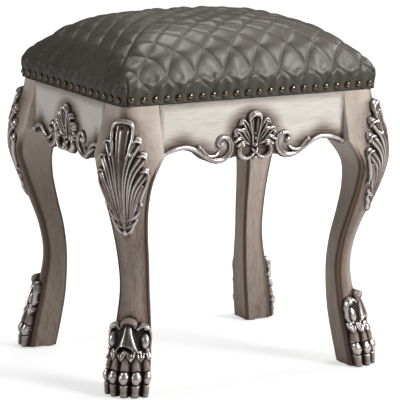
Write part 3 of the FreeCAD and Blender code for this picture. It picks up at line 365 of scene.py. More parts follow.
def build_patina():
    tree, w, given, result = new_group(
        "silver_patina", {"Where": "v", "Darkening": "f", "Bare": "f"},
        {"Color": "c", "Roughness": "f", "Metallic": "f", "Height": "f"})
    speck = w.noise(given.outputs["Where"], 380.0, 5.0, 0.7)
    cloud = w.noise(given.outputs["Where"], 55.0, 2.0)
    ragged = w.maths("ADD", given.outputs["Darkening"], w.maths("MULTIPLY_ADD", speck, 0.36, -0.18))
    # Rubbed silver on the ridges, partly a painted highlight.
    rubbed_and_highlight = w.fade(ragged, 0.18, -0.28)
    dark = w.fade(ragged, 0.40, 0.72)
    tone = w.mix(w.fade(cloud, 0.35, 0.7), SILVER_WARM, SILVER_DULL)
    tone = w.mix(rubbed_and_highlight, tone, SILVER_BRIGHT)
    tone = w.mix(given.outputs["Bare"], tone, BROWN_PAINT)
    w.link(w.mix(dark, tone, BLACK_PATINA), result.inputs["Color"])
    w.link(w.maths("MULTIPLY_ADD", dark, 0.26, 0.31), result.inputs["Roughness"])
    leaf = w.maths("MULTIPLY_ADD", dark, -0.75, 0.85)
    silvered = w.maths("SUBTRACT", 1.0, given.outputs["Bare"])
    w.link(w.maths("MULTIPLY", leaf, silvered), result.inputs["Metallic"])
    w.link(speck, result.inputs["Height"])
    return tree


PATINA = build_patina()


def silver_finish():
    material, w, shader = new_finish("silver_carving", 0.35)
    patina = w.add("ShaderNodeGroup", node_tree=PATINA)
    w.link(w.where(), patina.inputs["Where"])
    w.link(from_attribute("darkening")(w), patina.inputs["Darkening"])
    w.link(from_attribute("bare")(w), patina.inputs["Bare"])
    for source, target in (("Color", "Base Color"), ("Roughness", "Roughness"), ("Metallic", "Metallic")):
        w.link(patina.outputs[source], shader.inputs[target])
    w.roughen(shader, patina.outputs["Height"], 0.06, 0.0005)
    return material


silver = silver_finish()
print("silver finish:", silver.name)

# %% [markdown]
# ## Cabriole legs
# A cabriole leg is sawn to an S-curve from two sides, then its outer corner is rounded and a
# bead is run down each edge. Sections at a few heights, joined by a smooth curve, give the
# same form. Brown glaze and painted shade darken the quirk, the bead and the rims of the
# carvings, and darken the leg towards the floor; the inner faces take their own share of it.

# %% Leg sections
LEG_STATIONS = [  # height, inner edge, bow, round
    (1.5, 41.2, 3, 33), (45, 47.8, -3.5, 31), (90, 53, -12, 28), (145, 54.8, -20.2, 23),
    (190, 51.6, -16, 23), (235, 44, -4.5, 20.5), (275, 39, 8, 24), (312, 41, 18.5, 35),
    (345, 58.5, 17, 34)]
BLOCK_STATIONS = [(345, 17, 34), (375, 9, 28), (400, 2, 27), (418, 0, 30)]  # height, bow, round
leg_rows = smooth_rows(LEG_STATIONS, 12)
block_rows = smooth_rows(BLOCK_STATIONS, 8)
skin_rows = np.vstack([leg_rows[:-1][:, [0, 2, 3]], block_rows])


def leg_skin(across, height, lift):
    """Point on the leg's rounded outside, at a distance round it and lifted off it."""
    bow = np.interp(height, skin_rows[:, 0], skin_rows[:, 1])
    rounding = np.interp(height, skin_rows[:, 0], skin_rows[:, 2])
    outer = LEG_BLOCK + bow
    reach = rounding * math.pi / 4
    turn = np.clip(across, -reach, reach) / rounding + math.pi / 4
    past = across - np.clip(across, -reach, reach)
    normal = np.stack([np.cos(turn), np.sin(turn), 0 * turn], -1)
    base = np.stack([outer - rounding, outer - rounding, height], -1) + normal * rounding[..., None]
    slide = np.stack([-np.maximum(past, 0), np.minimum(past, 0), 0 * past], -1)
    return base + slide + normal * lift[..., None]


LEAF_OUTLINE = [(232, 0), (245, 9), (275, 26), (305, 36), (330, 39),  # height, half width
                (352, 34), (375, 25), (398, 14), (406, 0)]
PAW_OUTLINE = [(0, 32), (40, 32), (64, 30), (72, 29), (94, 25), (109, 14), (115, 0)]


# How dark and how wide the glaze and painted contact shade round the carvings are.
HALO_DARKNESS, HALO_SPREAD = 0.8, 9.0


def carving_halo(across, height):
    """Brown glaze and painted contact shade round the edges of the two carvings on a leg."""
    out = np.zeros_like(across)
    for outline in (LEAF_OUTLINE, PAW_OUTLINE):
        levels, widths = np.array(outline, float).T
        wide = np.interp(height, levels, widths)
        beyond = np.maximum(np.maximum(levels[0] - height, height - levels[-1]), 0)
        gap = np.hypot(np.maximum(np.abs(across) - wide, 0), beyond)
        out = np.maximum(out, HALO_DARKNESS * np.exp(-(gap / HALO_SPREAD) ** 2))
    return out


ARC_STEPS = 16
BEYOND = 200.0
# Darker towards the floor, partly brown glaze and partly painted shade; the inner faces take a share of it
# that changes with height.
LOWER_GLAZE_AND_SHADE, INNER_GLAZE_AND_SHADE = 0.48, (1.1, 0.40)
BEAD_TOP, BEAD_FADE = 345, 28.0


def outer_arc(centre, rounding):
    """Rounded outer corner of a section, and half its length."""
    turns = np.linspace(math.pi / 2, 0, ARC_STEPS + 1)
    arc = np.column_stack([centre + rounding * np.cos(turns), centre + rounding * np.sin(turns)])
    return arc, rounding * math.pi / 4


def leg_section(inner_edge, bow, rounding, sunk):
    """Points round one section, with how dark each is painted (glaze and painted shade) and its distance
    from the corner.
    """
    inner = LEG_BLOCK - inner_edge
    outer = LEG_BLOCK + bow
    centre = outer - rounding
    # Third number is how dark a point is painted: the inner corner, the quirk and the bead get brown glaze
    # and painted shade.
    back = [(inner, inner + 3, 0.8), (inner, inner + 5, 0.15),
            (inner, outer - 9, 0.15), (inner, outer - 4.6, 0.5)]
    bead = [(inner, outer - 4, 0.9), (inner + 1.2, outer - 1.2, 0.8), (inner + 3.4, outer, 0.7),
            (inner + 5.0, outer - 0.4 * sunk, 0.85), (inner + 5.9, outer - 1.9 * sunk, 1.0),
            (inner + 6.8, outer - 0.6 * sunk, 0.9), (inner + 9.5, outer, 0.35)]
    arc, corner = outer_arc(centre, rounding)
    toward_edge = np.linspace(-1, 1, ARC_STEPS + 1) ** 2
    arc = np.column_stack([arc, 0.3 * toward_edge])
    half = np.array(back + bead)
    half_across = np.where(np.arange(len(half)) < len(back), BEYOND, corner + centre - half[:, 0])
    points = np.vstack([half, arc, half[::-1][:, [1, 0, 2]]])
    points[:, 2] *= sunk
    across = np.concatenate([half_across, np.linspace(corner, -corner, ARC_STEPS + 1), -half_across[::-1]])
    return points, across


def closed_loft(sections):
    """Points and faces of a solid through rings of equal length, capped at both ends."""
    rows, columns = len(sections), len(sections[0])
    faces = grid_faces(rows, columns, wrap=True)
    faces = [face[::-1] for face in faces]
    faces.append(tuple(range(columns)))
    faces.append(tuple(range(rows * columns - 1, (rows - 1) * columns - 1, -1)))
    return np.vstack(sections), faces


def leg_form():
    """Cabriole and block of one leg: points, faces and how dark each point is painted, with glaze and
    painted shade.
    """
    rings, hollows = [], []
    for height, inner_edge, bow, rounding in leg_rows:
        sunk = np.clip((BEAD_TOP - height) / BEAD_FADE, 0, 1)
        points, across = leg_section(inner_edge, bow, rounding, sunk)
        level = np.full(len(points), height)
        # Painted shade with glaze: darker towards the floor, with the inner faces' own share.
        lower_glaze_and_shade = LOWER_GLAZE_AND_SHADE * np.clip((350 - height) / 130, 0, 1)
        inner_share = np.interp(height, [0, 200], INNER_GLAZE_AND_SHADE)
        lower_glaze_and_shade = lower_glaze_and_shade * np.where(np.abs(across) < BEYOND, 1, inner_share)
        hollows.append(np.maximum(points[:, 2] + lower_glaze_and_shade, carving_halo(across, level)))
        rings.append(np.column_stack([points[:, :2], level]))
    points, faces = closed_loft(rings)
    block, edges = [], []
    for height, bow, rounding in block_rows:
        outer = LEG_BLOCK + bow
        arc, corner = outer_arc(outer - rounding, rounding)
        outline = np.vstack([[18, 0], [0, 18], [0, outer - 3], [0.9, outer - 0.9], [3, outer], arc,
                             [outer, 3], [outer - 0.9, 0.9], [outer - 3, 0]])
        across = np.concatenate([[BEYOND] * 5, np.linspace(corner, -corner, ARC_STEPS + 1), [BEYOND] * 3])
        block.append(np.column_stack([outline, np.full(len(outline), height)]))
        edges.append(carving_halo(across, np.full(len(outline), height)))
    more_points, more_faces = closed_loft(block)
    faces += [tuple(i + len(points) for i in face) for face in more_faces]
    return np.vstack([points, more_points]), faces, np.concatenate(hollows + edges)


leg_points, leg_faces, leg_darkening = leg_form()
for corner in CORNERS:
    labels = {"darkening": leg_darkening}
    leg = make_mesh(f"leg_wood_{corner}", leg_points, leg_faces, labels, corner_matrix(corner), sharp=32)
    dress(leg, leg_wood, "pearl_wood", f"leg_{corner}")
print("leg:", len(leg_points), "points,", len(leg_faces), "faces")

# %% [markdown]
# ## Carving as relief
# A carver lays out strokes: ribs, curls, balls and leaves, each with a width and a height.
# The same works in code. Each stroke raises a grid of heights, the highest stroke wins, and
# what no stroke touches is not part of the carving. The difference between a height and its
# blurred neighbourhood tells ridge from hollow, which the silver finish reads.

# %% Relief helper
BACK_DEPTH = 2.0
UNCARVED = -1.5


class Relief:
    """Grid of heights over a patch, raised by strokes."""

    def __init__(self, low, high, step):
        self.across = np.arange(low[0], high[0] + step, step)
        self.up = np.arange(low[1], high[1] + step, step)
        self.x, self.y = np.meshgrid(self.across, self.up)
        self.height = np.full(self.x.shape, UNCARVED)
        self.bare = np.zeros(self.x.shape)
        self.shade = np.zeros(self.x.shape)
        self.step = step

    def _nearest(self, line):
        """Distance to a densely sampled line, and the number of the nearest sample."""
        best = np.full(self.x.shape, 1e9)
        index = np.zeros(self.x.shape, int)
        for number, (x, y) in enumerate(line):
            gap = (self.x - x) ** 2 + (self.y - y) ** 2
            closer = gap < best
            best = np.where(closer, gap, best)
            index = np.where(closer, number, index)
        return np.sqrt(best), index

    def stroke(self, points, widths, heights, groove=0.0, both=False, smooth=True, base=0.0):
        """Rounded rib along a line; groove hollows out its middle; both mirrors it in X."""
        at = np.linspace(0, 1, len(points))
        spread = [np.interp(at, np.linspace(0, 1, len(values)), values) for values in (widths, heights)]
        rows = np.column_stack([points, *spread])
        length = np.hypot(*np.diff(rows[:, :2], axis=0).T).sum()
        steps = max(2, int(length / (len(rows) - 1) / (1.2 * self.step)))
        rows = smooth_rows(rows, steps) if smooth else rows
        for mirror in ((1, -1) if both else (1,)):
            gap, near = self._nearest(rows[:, :2] * [mirror, 1])
            share = gap / np.maximum(rows[near, 2], 0.05)
            profile = np.sqrt(np.clip(1 - share ** 2, 0, 1)) - groove * np.exp(-(share / 0.30) ** 2)
            raised = base + rows[near, 3] * profile
            self.height = np.where(share < 1, np.maximum(self.height, raised), self.height)

    def ball(self, x, y, radius, height, both=False, tall=1.0, base=0.0):
        for mirror in ((1, -1) if both else (1,)):
            share = np.hypot(self.x - mirror * x, (self.y - y) / tall) / radius
            raised = base + height * np.sqrt(np.clip(1 - share ** 2, 0, 1))
            self.height = np.where(share < 1, np.maximum(self.height, raised), self.height)

    def field(self, inside, height):
        """Low ground under the strokes, where a mask says so."""
        self.height = np.where(inside, np.maximum(self.height, height), self.height)

    def cut(self, points, width, depth, both=False):
        """Gouge line that lowers what it crosses."""
        rows = np.array(points, float)
        length = np.hypot(*np.diff(rows, axis=0).T).sum()
        rows = smooth_rows(rows, max(2, int(length / (len(rows) - 1) / self.step)))
        for mirror in ((1, -1) if both else (1,)):
            gap, _ = self._nearest(rows * [mirror, 1])
            lower = self.height - depth * np.exp(-(gap / width) ** 2)
            self.height = np.where(self.height > 0.2, lower, self.height)

    def blur(self, values, reach):
        """Box blur, done twice, with the edge values carried outwards."""
        size = 2 * reach + 1
        for _ in range(2):
            for axis in (0, 1):
                pad = [(reach + 1, reach) if a == axis else (0, 0) for a in (0, 1)]
                total = np.cumsum(np.pad(values, pad, mode="edge"), axis)
                values = (np.take(total, range(size, total.shape[axis]), axis)
                          - np.take(total, range(0, total.shape[axis] - size), axis)) / size
        return values

    def darkening(self):
        """0 or less on ridges, 1 in hollows."""
        local = self.height - self.blur(self.height, max(2, int(2.6 / self.step)))
        wide = self.height - self.blur(self.height, max(3, int(6.0 / self.step)))
        steep = np.hypot(*np.gradient(self.blur(self.height, 1), self.step))
        ridge = 0.42 * local + 0.12 * wide
        flank = 0.24 * np.clip(steep - 0.6, 0, 2)
        return np.clip(0.40 - ridge + flank + self.shade, -0.5, 1)

    def mesh(self, name, surface, matrix):
        """Closed carving whose rim and back are sunk into what carries it."""
        soft = self.blur(self.height, 1) * 0.6 + self.height * 0.4
        soft = np.where(self.height > UNCARVED + 0.5, soft, self.height)
        raised = self.height > 0.05
        cell = raised[:-1, :-1] | raised[1:, :-1] | raised[:-1, 1:] | raised[1:, 1:]
        faces = np.array(grid_faces(*self.x.shape, keep=cell))
        used, order = np.unique(faces, return_inverse=True)
        front = order.reshape(faces.shape)
        back = front[:, ::-1] + len(used)
        edges = np.concatenate([front[:, [side, (side + 1) % 4]] for side in range(4)])
        ways = edges @ [len(used), 1]
        rim = edges[~np.isin(ways, edges @ [1, len(used)])]
        walls = np.column_stack([rim[:, ::-1], rim + len(used)])
        lifts = (soft, np.full(soft.shape, -BACK_DEPTH))
        layers = [surface(self.x, self.y, lift).reshape(-1, 3)[used] for lift in lifts]
        darkening = np.concatenate([self.darkening().ravel()[used], np.ones(len(used))])
        bare = np.concatenate([self.bare.ravel()[used], np.zeros(len(used))])
        labels = {"darkening": darkening, "bare": bare}
        return make_mesh(name, np.vstack(layers), np.vstack([front, back, walls]), labels, matrix)


def flat_surface(across, height, lift):
    """Relief on an apron: its back is on Y = 0 and it faces -Y."""
    return np.stack([across, -lift, height], -1)


print("relief helper ready")

# %% [markdown]
# ## Knee leaf
# Broad lobes fan out from a small husk. Each lobe is gouged hollow, so that its rims catch the
# light, and its tip rolls over. The middle is a wide flute under a rolled lip, and the lip's
# ends hang down beside it as thick rims with a hook.

# %% Knee leaf
# Brightens the knee's ridges: rubbed silver, partly a painted highlight.
EXTRA_RUB_AND_HIGHLIGHT = 0.10
LOBES = [[(3, 256), (5.5, 306), (10.5, 345), (20.5, 371)],
         [(5, 254), (9.5, 292), (17, 328), (31.5, 350)],
         [(7, 252), (12.5, 280), (21, 307), (36.5, 328)]]


def rolled_tip(relief, line, half, rise):
    """Short thick rib across the end of a lobe, bent back at both sides."""
    end, before = np.array(line[-1], float), np.array(line[-2], float)
    along = (end - before) / np.linalg.norm(end - before)
    aside = np.array([along[1], -along[0]])
    shares = ((-1, -4.0), (-0.6, -0.6), (0, 0.8), (0.6, -0.6), (1, -4.0))
    points = [end + aside * half * share + along * back for share, back in shares]
    heights = rise * np.array([0.7, 0.95, 1.0, 0.95, 0.7])
    relief.stroke(points, [1.2, 2.0, 2.3, 2.0, 1.2], heights, both=True)


def knee_relief():
    leaf = Relief((-44, 226), (44, 410), 0.9)
    levels, widths = np.array(LEAF_OUTLINE, float).T
    leaf.field(np.abs(leaf.x) < np.interp(leaf.y, levels, widths) - 4, 1.4)
    for line, rise in zip(LOBES, (8.2, 7.2, 6.2)):
        heights = rise * np.array([0.55, 0.8, 0.92, 0.98])
        leaf.stroke(line, [1.5, 3.0, 5.6, 8.4], heights, groove=0.5, both=True)
        rolled_tip(leaf, line, 8.0, rise + 2.4)
    for upper, lower in zip(LOBES, LOBES[1:]):
        line = [((x + p) / 2 - 0.2, (y + q) / 2) for (x, y), (p, q) in zip(upper, lower)]
        leaf.cut(line, 0.9, 2.4, both=True)
    leaf.stroke([(0, 244), (0, 300), (0, 350), (0, 390)], [2.2, 3.6, 7.6, 11.5], [3.4, 4.6, 5.8, 6.8],
                groove=0.38)
    leaf.stroke([(0, 256), (0, 320), (0, 386)], [1.4, 2.6, 3.6], [3.8, 5.4, 6.8])
    leaf.stroke([(2.0, 268), (4.4, 325), (6.6, 384)], [0.9, 1.3, 1.6], [3.8, 5.0, 6.2], both=True)
    leaf.stroke([(12.5, 392), (13, 378), (10.4, 360), (12.4, 353), (15.4, 357)], [2.4, 2.4, 2.0, 1.8, 1.4],
                [9.4, 9.0, 8.2, 8.2, 7.0], both=True)
    leaf.stroke([(-13, 389), (-9.5, 396), (0, 399), (9.5, 396), (13, 389)], [2.6, 3.6, 4.0, 3.6, 2.6],
                [9.0, 10.0, 10.4, 10.0, 9.0])
    leaf.stroke([(40, 322), (37, 312), (31, 298), (26.5, 287), (27.5, 280)], [1.8, 2.6, 2.8, 2.4, 1.8],
                [6.0, 7.0, 6.8, 6.2, 5.2], both=True)
    leaf.ball(27.5, 281, 3.0, 7.8, both=True)
    leaf.stroke([(9, 254), (15, 272), (23, 292), (31, 308)], [1.4, 2.4, 3.4, 3.0], [3.0, 4.6, 5.4, 5.0],
                groove=0.4, both=True)
    for tip in ((22, 270), (18, 259), (12, 249)):
        foot = (tip[0] * 0.2, tip[1] - 12)
        middle = (tip[0] * 0.66, tip[1] - 8)
        leaf.stroke([foot, middle, tip], [1.6, 2.8, 1.8], [3.2, 5.4, 6.2], groove=0.3, both=True)
        leaf.ball(tip[0], tip[1], 1.9, 7.2, both=True)
    leaf.ball(0, 238, 3.6, 6.0, tall=1.6)
    leaf.shade -= EXTRA_RUB_AND_HIGHLIGHT
    return leaf


knee = knee_relief()
for corner in CORNERS:
    piece = knee.mesh(f"knee_leaf_{corner}", leg_skin, corner_matrix(corner))
    dress(piece, silver, "silver_carving", f"knee_carving_{corner}")
print("knee leaf:", len(piece.data.vertices), "points")

# %% [markdown]
# ## Paw
# Five toes, each a bare brown finger with a bright round knuckle and a small claw. A ragged
# collar of leaves hides where they start. Above it a bell-shaped leaf hangs from a rolled lip,
# and at each side a C-scroll curls round an oval boss.

# %% Paw
TOE_SPREAD = 13.2
KNUCKLE_LEVEL, COLLAR_LEVEL = 29, 60


def paw_relief():
    paw = Relief((-40, 1.5), (40, 122), 0.65)
    levels, widths = np.array(PAW_OUTLINE, float).T
    wide = np.interp(paw.y, levels, widths)
    paw.field(np.abs(paw.x) < wide - 1.5, 1.6)
    paw.field((np.abs(paw.x) < wide - 5) & (paw.y > COLLAR_LEVEL + 2) & (paw.y < 99), 4.6)
    for toe in (-2, -1, 0, 1, 2):
        low, high = toe * TOE_SPREAD, toe * TOE_SPREAD * 0.84
        rise = 1 - 0.03 * toe ** 2
        finger = [(high, 64), ((low + high) / 2, 48), (low, 34)]
        paw.stroke(finger, [5.8, 6.9, 7.2], np.array([9, 13.5, 16.0]) * rise)
        paw.stroke([(low, 26), (low, 14), (low, 3)], [7.0, 6.6, 6.0], np.array([16.0, 14.5, 12]) * rise)
        paw.cut([(low - 7, 35), (low, 39.4), (low + 7, 35)], 0.9, 3.6)
        paw.cut([(low - 7, 21.5), (low, 19.5), (low + 7, 21.5)], 1.0, 4.0)
        paw.ball(low, KNUCKLE_LEVEL, 6.2, 7.4 * rise, tall=1.3, base=10.6 * rise)
        paw.ball(low, 6, 4.6, 5.5 * rise, tall=1.1, base=8.0 * rise)
    fingers = np.clip((paw.y - 38) / 3, 0, 1) * np.clip((56 - paw.y) / 3, 0, 1)
    paw.bare = np.maximum(paw.bare, 0.8 * fingers)
    paw.shade += 0.14 * np.clip(1.6 - np.abs(paw.y - KNUCKLE_LEVEL) / 6, 0, 1)
    claws = np.clip((20 - paw.y) / 3, 0, 1)
    paw.bare = np.maximum(paw.bare, 0.6 * claws)
    paw.shade += 0.30 * claws
    for tip in np.arange(-2.5, 3):
        middle = tip * 10.6
        blade = [(middle - 1.5, 64), (middle - 1, 59), (middle + 1, 52)]
        edge = [(middle + 4, 63), (middle + 3, 58), (middle + 0.6, 53)]
        paw.stroke(blade, [5.0, 4.4, 1.2], [12, 14.0, 15.0], groove=0.25)
        paw.stroke(edge, [1.2, 1.5, 1.3], [13, 15.0, 15.6])
    paw.stroke([(0, 100), (0, 88), (0, 77), (0, 70)], [6.0, 8.4, 11.4, 13.0], [9.5, 11.5, 13.4, 14.0],
               groove=0.2)
    paw.stroke([(3.0, 99), (4.6, 88), (8.6, 74), (13.5, 64)], [1.2, 2.2, 3.0, 1.6],
               [10.2, 12.4, 14.2, 13.4])
    paw.stroke([(-13.5, 64), (-9, 70.5), (-2, 73.5), (5, 70.5), (10, 64)], [1.2, 1.4, 1.5, 1.4, 1.2],
               [13.0, 14.4, 15.0, 14.4, 13.0])
    paw.cut([(-9, 65.5), (-5, 68.5), (-1, 69.5), (4, 66.5)], 2.8, 8.0)
    paw.stroke([(-8, 99), (-6.5, 104.5), (0, 107.5), (6.5, 104.5), (8, 99)], [2.6, 4.4, 5.0, 4.4, 2.6],
               [10.0, 12.6, 13.4, 12.6, 10.0])
    lip = np.clip((paw.y - 97) / 2, 0, 1) * (np.abs(paw.x) < 9.5)
    paw.bare = np.maximum(paw.bare, 0.85 * lip)
    paw.ball(21.5, 79, 6.6, 13.4, both=True, tall=2.0)
    paw.stroke([(11, 96), (16, 101), (23, 98.5), (28, 90), (29, 79), (28, 70), (23, 67)],
               [2.4, 3.6, 4.0, 3.2, 2.6, 2.6, 2.2], [10.0, 11.8, 13.2, 12.0, 11.0, 10.8, 10.2], both=True)
    paw.ball(20.5, 97.5, 4.0, 13.6, both=True)
    paw.ball(23.5, 68, 2.8, 12.0, both=True)
    return paw


paw = paw_relief()
for corner in CORNERS:
    piece = paw.mesh(f"paw_{corner}", leg_skin, corner_matrix(corner))
    dress(piece, silver, "silver_carving", f"paw_carving_{corner}")
print("paw:", len(piece.data.vertices), "points")

# %% [markdown]
# ## Scroll mouldings and cartouches
# The moulding follows the lower edge of the apron from the leg to the trough, then winds up
# into an eye. Each apron has a pair that mirror each other, with the cartouche between them.

# %% Scroll mouldings
GLAZE_LEFT = 0.10


def edge_height(along, half, crest, trough=58.0):
    """Height of an apron's lower edge at a distance from its middle."""
    wave = 339.5 + 11.5 * np.cos(math.pi * (crest - along) / (crest - trough))
    end = 351 - 11 * ((along - crest) / (half - crest)) ** 2
    return np.where(along > crest, end, wave)


def arc_points(x, y, radius, first, last, steps=9):
    turns = np.radians(np.linspace(first, last, steps))
    return np.column_stack([x + radius * np.cos(turns), y + radius * np.sin(turns)])


def scroll_relief(half, crest):
    scroll = Relief((28, 318), (half, 378), 0.7)
    along = np.linspace(half - 2.6, 58, 44)
    run = np.column_stack([along, edge_height(along, half, crest) + 4.2])
    spiral = np.vstack([arc_points(58, 352.2, 20, -97, -180), arc_points(51, 352.2, 13, 168, 90),
                        arc_points(51, 357.2, 8, 78, 0), arc_points(54, 357.2, 5, -18, -90)])
    line = np.vstack([run, spiral])
    widths = np.concatenate([np.linspace(3.4, 4.2, 10), np.full(24, 4.2),
                             np.linspace(4.2, 5.2, 14), np.linspace(5.2, 2.6, 32)])
    heights = np.concatenate([np.linspace(3.8, 5.2, 10), np.full(38, 5.4), np.linspace(5.6, 5.0, 32)])
    scroll.stroke(line, widths, heights, smooth=False)
    scroll.ball(54.5, 355.2, 4.8, 7.2)
    scroll.ball(half - 3.4, line[0, 1], 3.9, 5.6)
    scroll.stroke([(88, 346.5), (78, 341), (70, 339), (62, 341), (57, 346)], [1.4, 2.6, 3.4, 3.2, 1.4],
                  [3.4, 4.8, 5.4, 5.0, 3.0])
    scroll.stroke([(72, 339), (80, 345), (86, 351), (90, 354)], [1.8, 2.6, 2.6, 2.2], [3.6, 4.8, 5.0, 4.6])
    scroll.ball(89.5, 353.5, 3.4, 6.0)
    for shift in (-1.4, 1.6):
        groove = line[30:60].copy()
        groove[:, 1] += shift
        scroll.cut(groove[::4], 0.8, 1.2)
    scroll.shade += GLAZE_LEFT
    return scroll


def cartouche_relief():
    crest = Relief((-38, 322), (38, 404), 0.7)
    crest.field((np.abs(crest.x) < 17) & (crest.y > 348) & (crest.y < 380), 1.0)
    crest.stroke([(0, 350), (0, 364), (0, 378), (0, 389)], [3.0, 4.6, 7.4, 9.2], [5.0, 6.2, 7.4, 8.4],
                 groove=0.75)
    crest.stroke([(3.4, 350), (4.8, 366), (9.0, 386)], [1.2, 1.5, 1.8], [6.0, 8.0, 9.6], both=True)
    crest.stroke([(-9.4, 387), (-6.6, 393.5), (0, 396), (6.6, 393.5), (9.4, 387)],
                 [2.6, 4.4, 5.2, 4.4, 2.6], [8.4, 10.8, 11.6, 10.8, 8.4])
    leaves = [[(5, 356), (9, 368), (14, 379), (20, 386), (24.5, 382)],
              [(7, 352), (15, 361), (23, 370), (30, 373), (32.5, 366)]]
    for line in leaves:
        crest.stroke(line, [1.8, 4.6, 5.6, 4.2, 2.2], [4.6, 7.0, 8.6, 9.8, 7.8], groove=0.5, both=True)
        crest.ball(line[-1][0] - 1, line[-1][1] + 1, 2.7, 10.0, both=True)
        crest.cut([(x - 0.5, y) for x, y in line[:3]], 0.8, 2.0, both=True)
    lobes = [[(12, 368), (19, 374), (25, 373.5)],
             [(17, 360), (26, 362), (32.5, 357.5)],
             [(10, 353), (20, 356), (29, 351)]]
    for lobe in lobes:
        crest.stroke(lobe, [1.6, 3.4, 1.8], [6.4, 8.8, 9.4], groove=0.35, both=True)
        crest.ball(lobe[-1][0], lobe[-1][1], 2.1, 9.8, both=True)
    crest.stroke(arc_points(14, 344, 11.5, 245, 410, 15), [2.6, 4.0, 4.4, 3.8, 2.4],
                 [7.0, 8.8, 8.8, 8.2, 6.6], both=True)
    crest.stroke([(10, 333.5), (5, 335.5), (2.4, 340), (4, 346)], [3.0, 2.6, 2.2, 1.8],
                 [7.6, 7.6, 7.2, 6.0], both=True)
    crest.ball(20, 351.5, 3.8, 9.4, both=True)
    beads = ((333, 3.2, 8.8), (341, 3.6, 9.8), (351, 3.2, 9.6), (361, 2.2, 8.8), (368, 1.7, 8.2))
    for level, radius, rise in beads:
        crest.ball(0, level, radius, rise, tall=1.15)
    crest.ball(5.2, 337, 2.4, 8.6, both=True)
    crest.shade += GLAZE_LEFT
    return crest


front_scroll = scroll_relief(150.5, 113.5)
side_scroll = scroll_relief(119.5, 94.5)
cartouche = cartouche_relief()
MIRROR = Matrix.Scale(-1, 4, (1, 0, 0))
for name in APRONS:
    scroll = front_scroll if name in ("front", "rear") else side_scroll
    right = scroll.mesh(f"scroll_moulding_{name}_b", flat_surface, apron_matrix(name))
    dress(right, silver, "silver_carving", f"scroll_{name}_b")
    left = scroll.mesh(f"scroll_moulding_{name}_a", flat_surface, apron_matrix(name) @ MIRROR)
    left.data.flip_normals()
    dress(left, silver, "silver_carving", f"scroll_{name}_a")
    piece = cartouche.mesh(f"crest_{name}", flat_surface, apron_matrix(name))
    dress(piece, silver, "silver_carving", f"cartouche_{name}")
print("scroll:", len(right.data.vertices), "points; cartouche:", len(piece.data.vertices), "points")

# %% [markdown]
# ## Quilted seat
# The cover is sewn to its padding along crossing lines, and the padding swells between them.
# A cloth simulation does just that: the seams are pinned, air pressure pushes the rest out.
# The grid is laid so that every seam runs through its points, which keeps the valleys crisp.

# %% Seat form before it swells
HALF_X, HALF_Y = FRAME_WIDTH / 2 + 0.5, FRAME_DEPTH / 2 + 0.5
QUILT = (18, 16)
FINE = 5
CROWN, CROWN_POWER = 57, 4.6
EDGE_RADIUS, CORNER_RADIUS = 24.0, 13.0
NAIL_LEVEL, SHOULDER = FRAME_TOP + 9, FRAME_TOP + 23.3
BORDER_INSET = EDGE_RADIUS * (1 - math.sqrt(0.5))
WALL_STEP = 4.5
WALL_TOP = SHOULDER + EDGE_RADIUS * math.sqrt(0.5)
WALL_DRAWN_IN = [3.5, 1.4, 0.3, 0.0, 0.4, 1.1, 1.6, 1.6, 1.2]


def rounded(x, y, draw_in=0.0):
    """Bend the corners of a rectangle round, keeping the straight sides."""
    wide, deep = HALF_X - CORNER_RADIUS, HALF_Y - CORNER_RADIUS
    dx, dy = np.abs(x) - wide, np.abs(y) - deep
    corner = (dx > 0) & (dy > 0)
    length = np.hypot(dx, dy)
    shrink = np.where(corner, np.maximum(dx, dy) / np.where(length > 0, length, 1), 1)
    ax = np.where(corner, wide + dx * shrink, np.abs(x))
    ay = np.where(corner, deep + dy * shrink, np.abs(y))
    ax, ay = ax * (HALF_X - draw_in) / HALF_X, ay * (HALF_Y - draw_in) / HALF_Y
    return np.sign(x) * ax, np.sign(y) * ay


def seat_form():
    """Points, faces, grid places and the count of top points of the cover, closed underneath."""
    columns, rows = QUILT[0] * FINE + 1, QUILT[1] * FINE + 1
    i, j = np.meshgrid(np.arange(columns), np.arange(rows))
    s, t = 2 * i / (columns - 1) - 1, 2 * j / (rows - 1) - 1
    x, y = s * (HALF_X - BORDER_INSET), t * (HALF_Y - BORDER_INSET)
    gap = np.minimum(HALF_X - np.abs(x), HALF_Y - np.abs(y)) / EDGE_RADIUS
    edge = EDGE_RADIUS * np.sqrt(1 - (1 - np.clip(gap, 0, 1)) ** 2)
    crown = CROWN * (1 - np.abs(s) ** CROWN_POWER) * (1 - np.abs(t) ** CROWN_POWER)
    top = np.stack([*rounded(x, y), SHOULDER + edge + crown], -1).reshape(-1, 3)
    faces = grid_faces(rows, columns)
    place = np.stack([i.ravel() / FINE, j.ravel() / FINE], -1)
    loop = grid_rim(rows, columns)
    rim = [r * columns + c for r, c in loop]
    out = np.array([[(c == columns - 1) * 1.0 - (c == 0), (r == rows - 1) * 1.0 - (r == 0)]
                    for r, c in loop])
    points, places, previous = [top], [place], rim
    start = len(top)
    rim_x, rim_y = s.ravel()[rim] * HALF_X, t.ravel()[rim] * HALF_Y
    for ring_number, draw_in in enumerate(WALL_DRAWN_IN, 1):
        wx, wy = rounded(rim_x, rim_y, draw_in)
        level = max(WALL_TOP - WALL_STEP * ring_number, FRAME_TOP + 0.3)
        points.append(np.column_stack([wx, wy, np.full(len(rim), level)]))
        places.append(place[rim] + out * ring_number / FINE)
        ring = list(range(start, start + len(rim)))
        for n in range(len(rim)):
            after = (n + 1) % len(rim)
            faces.append((previous[n], ring[n], ring[after], previous[after]))
        previous = ring
        start += len(rim)
    faces.append(tuple(previous[::-1]))
    return np.vstack(points), faces, np.vstack(places), len(top)


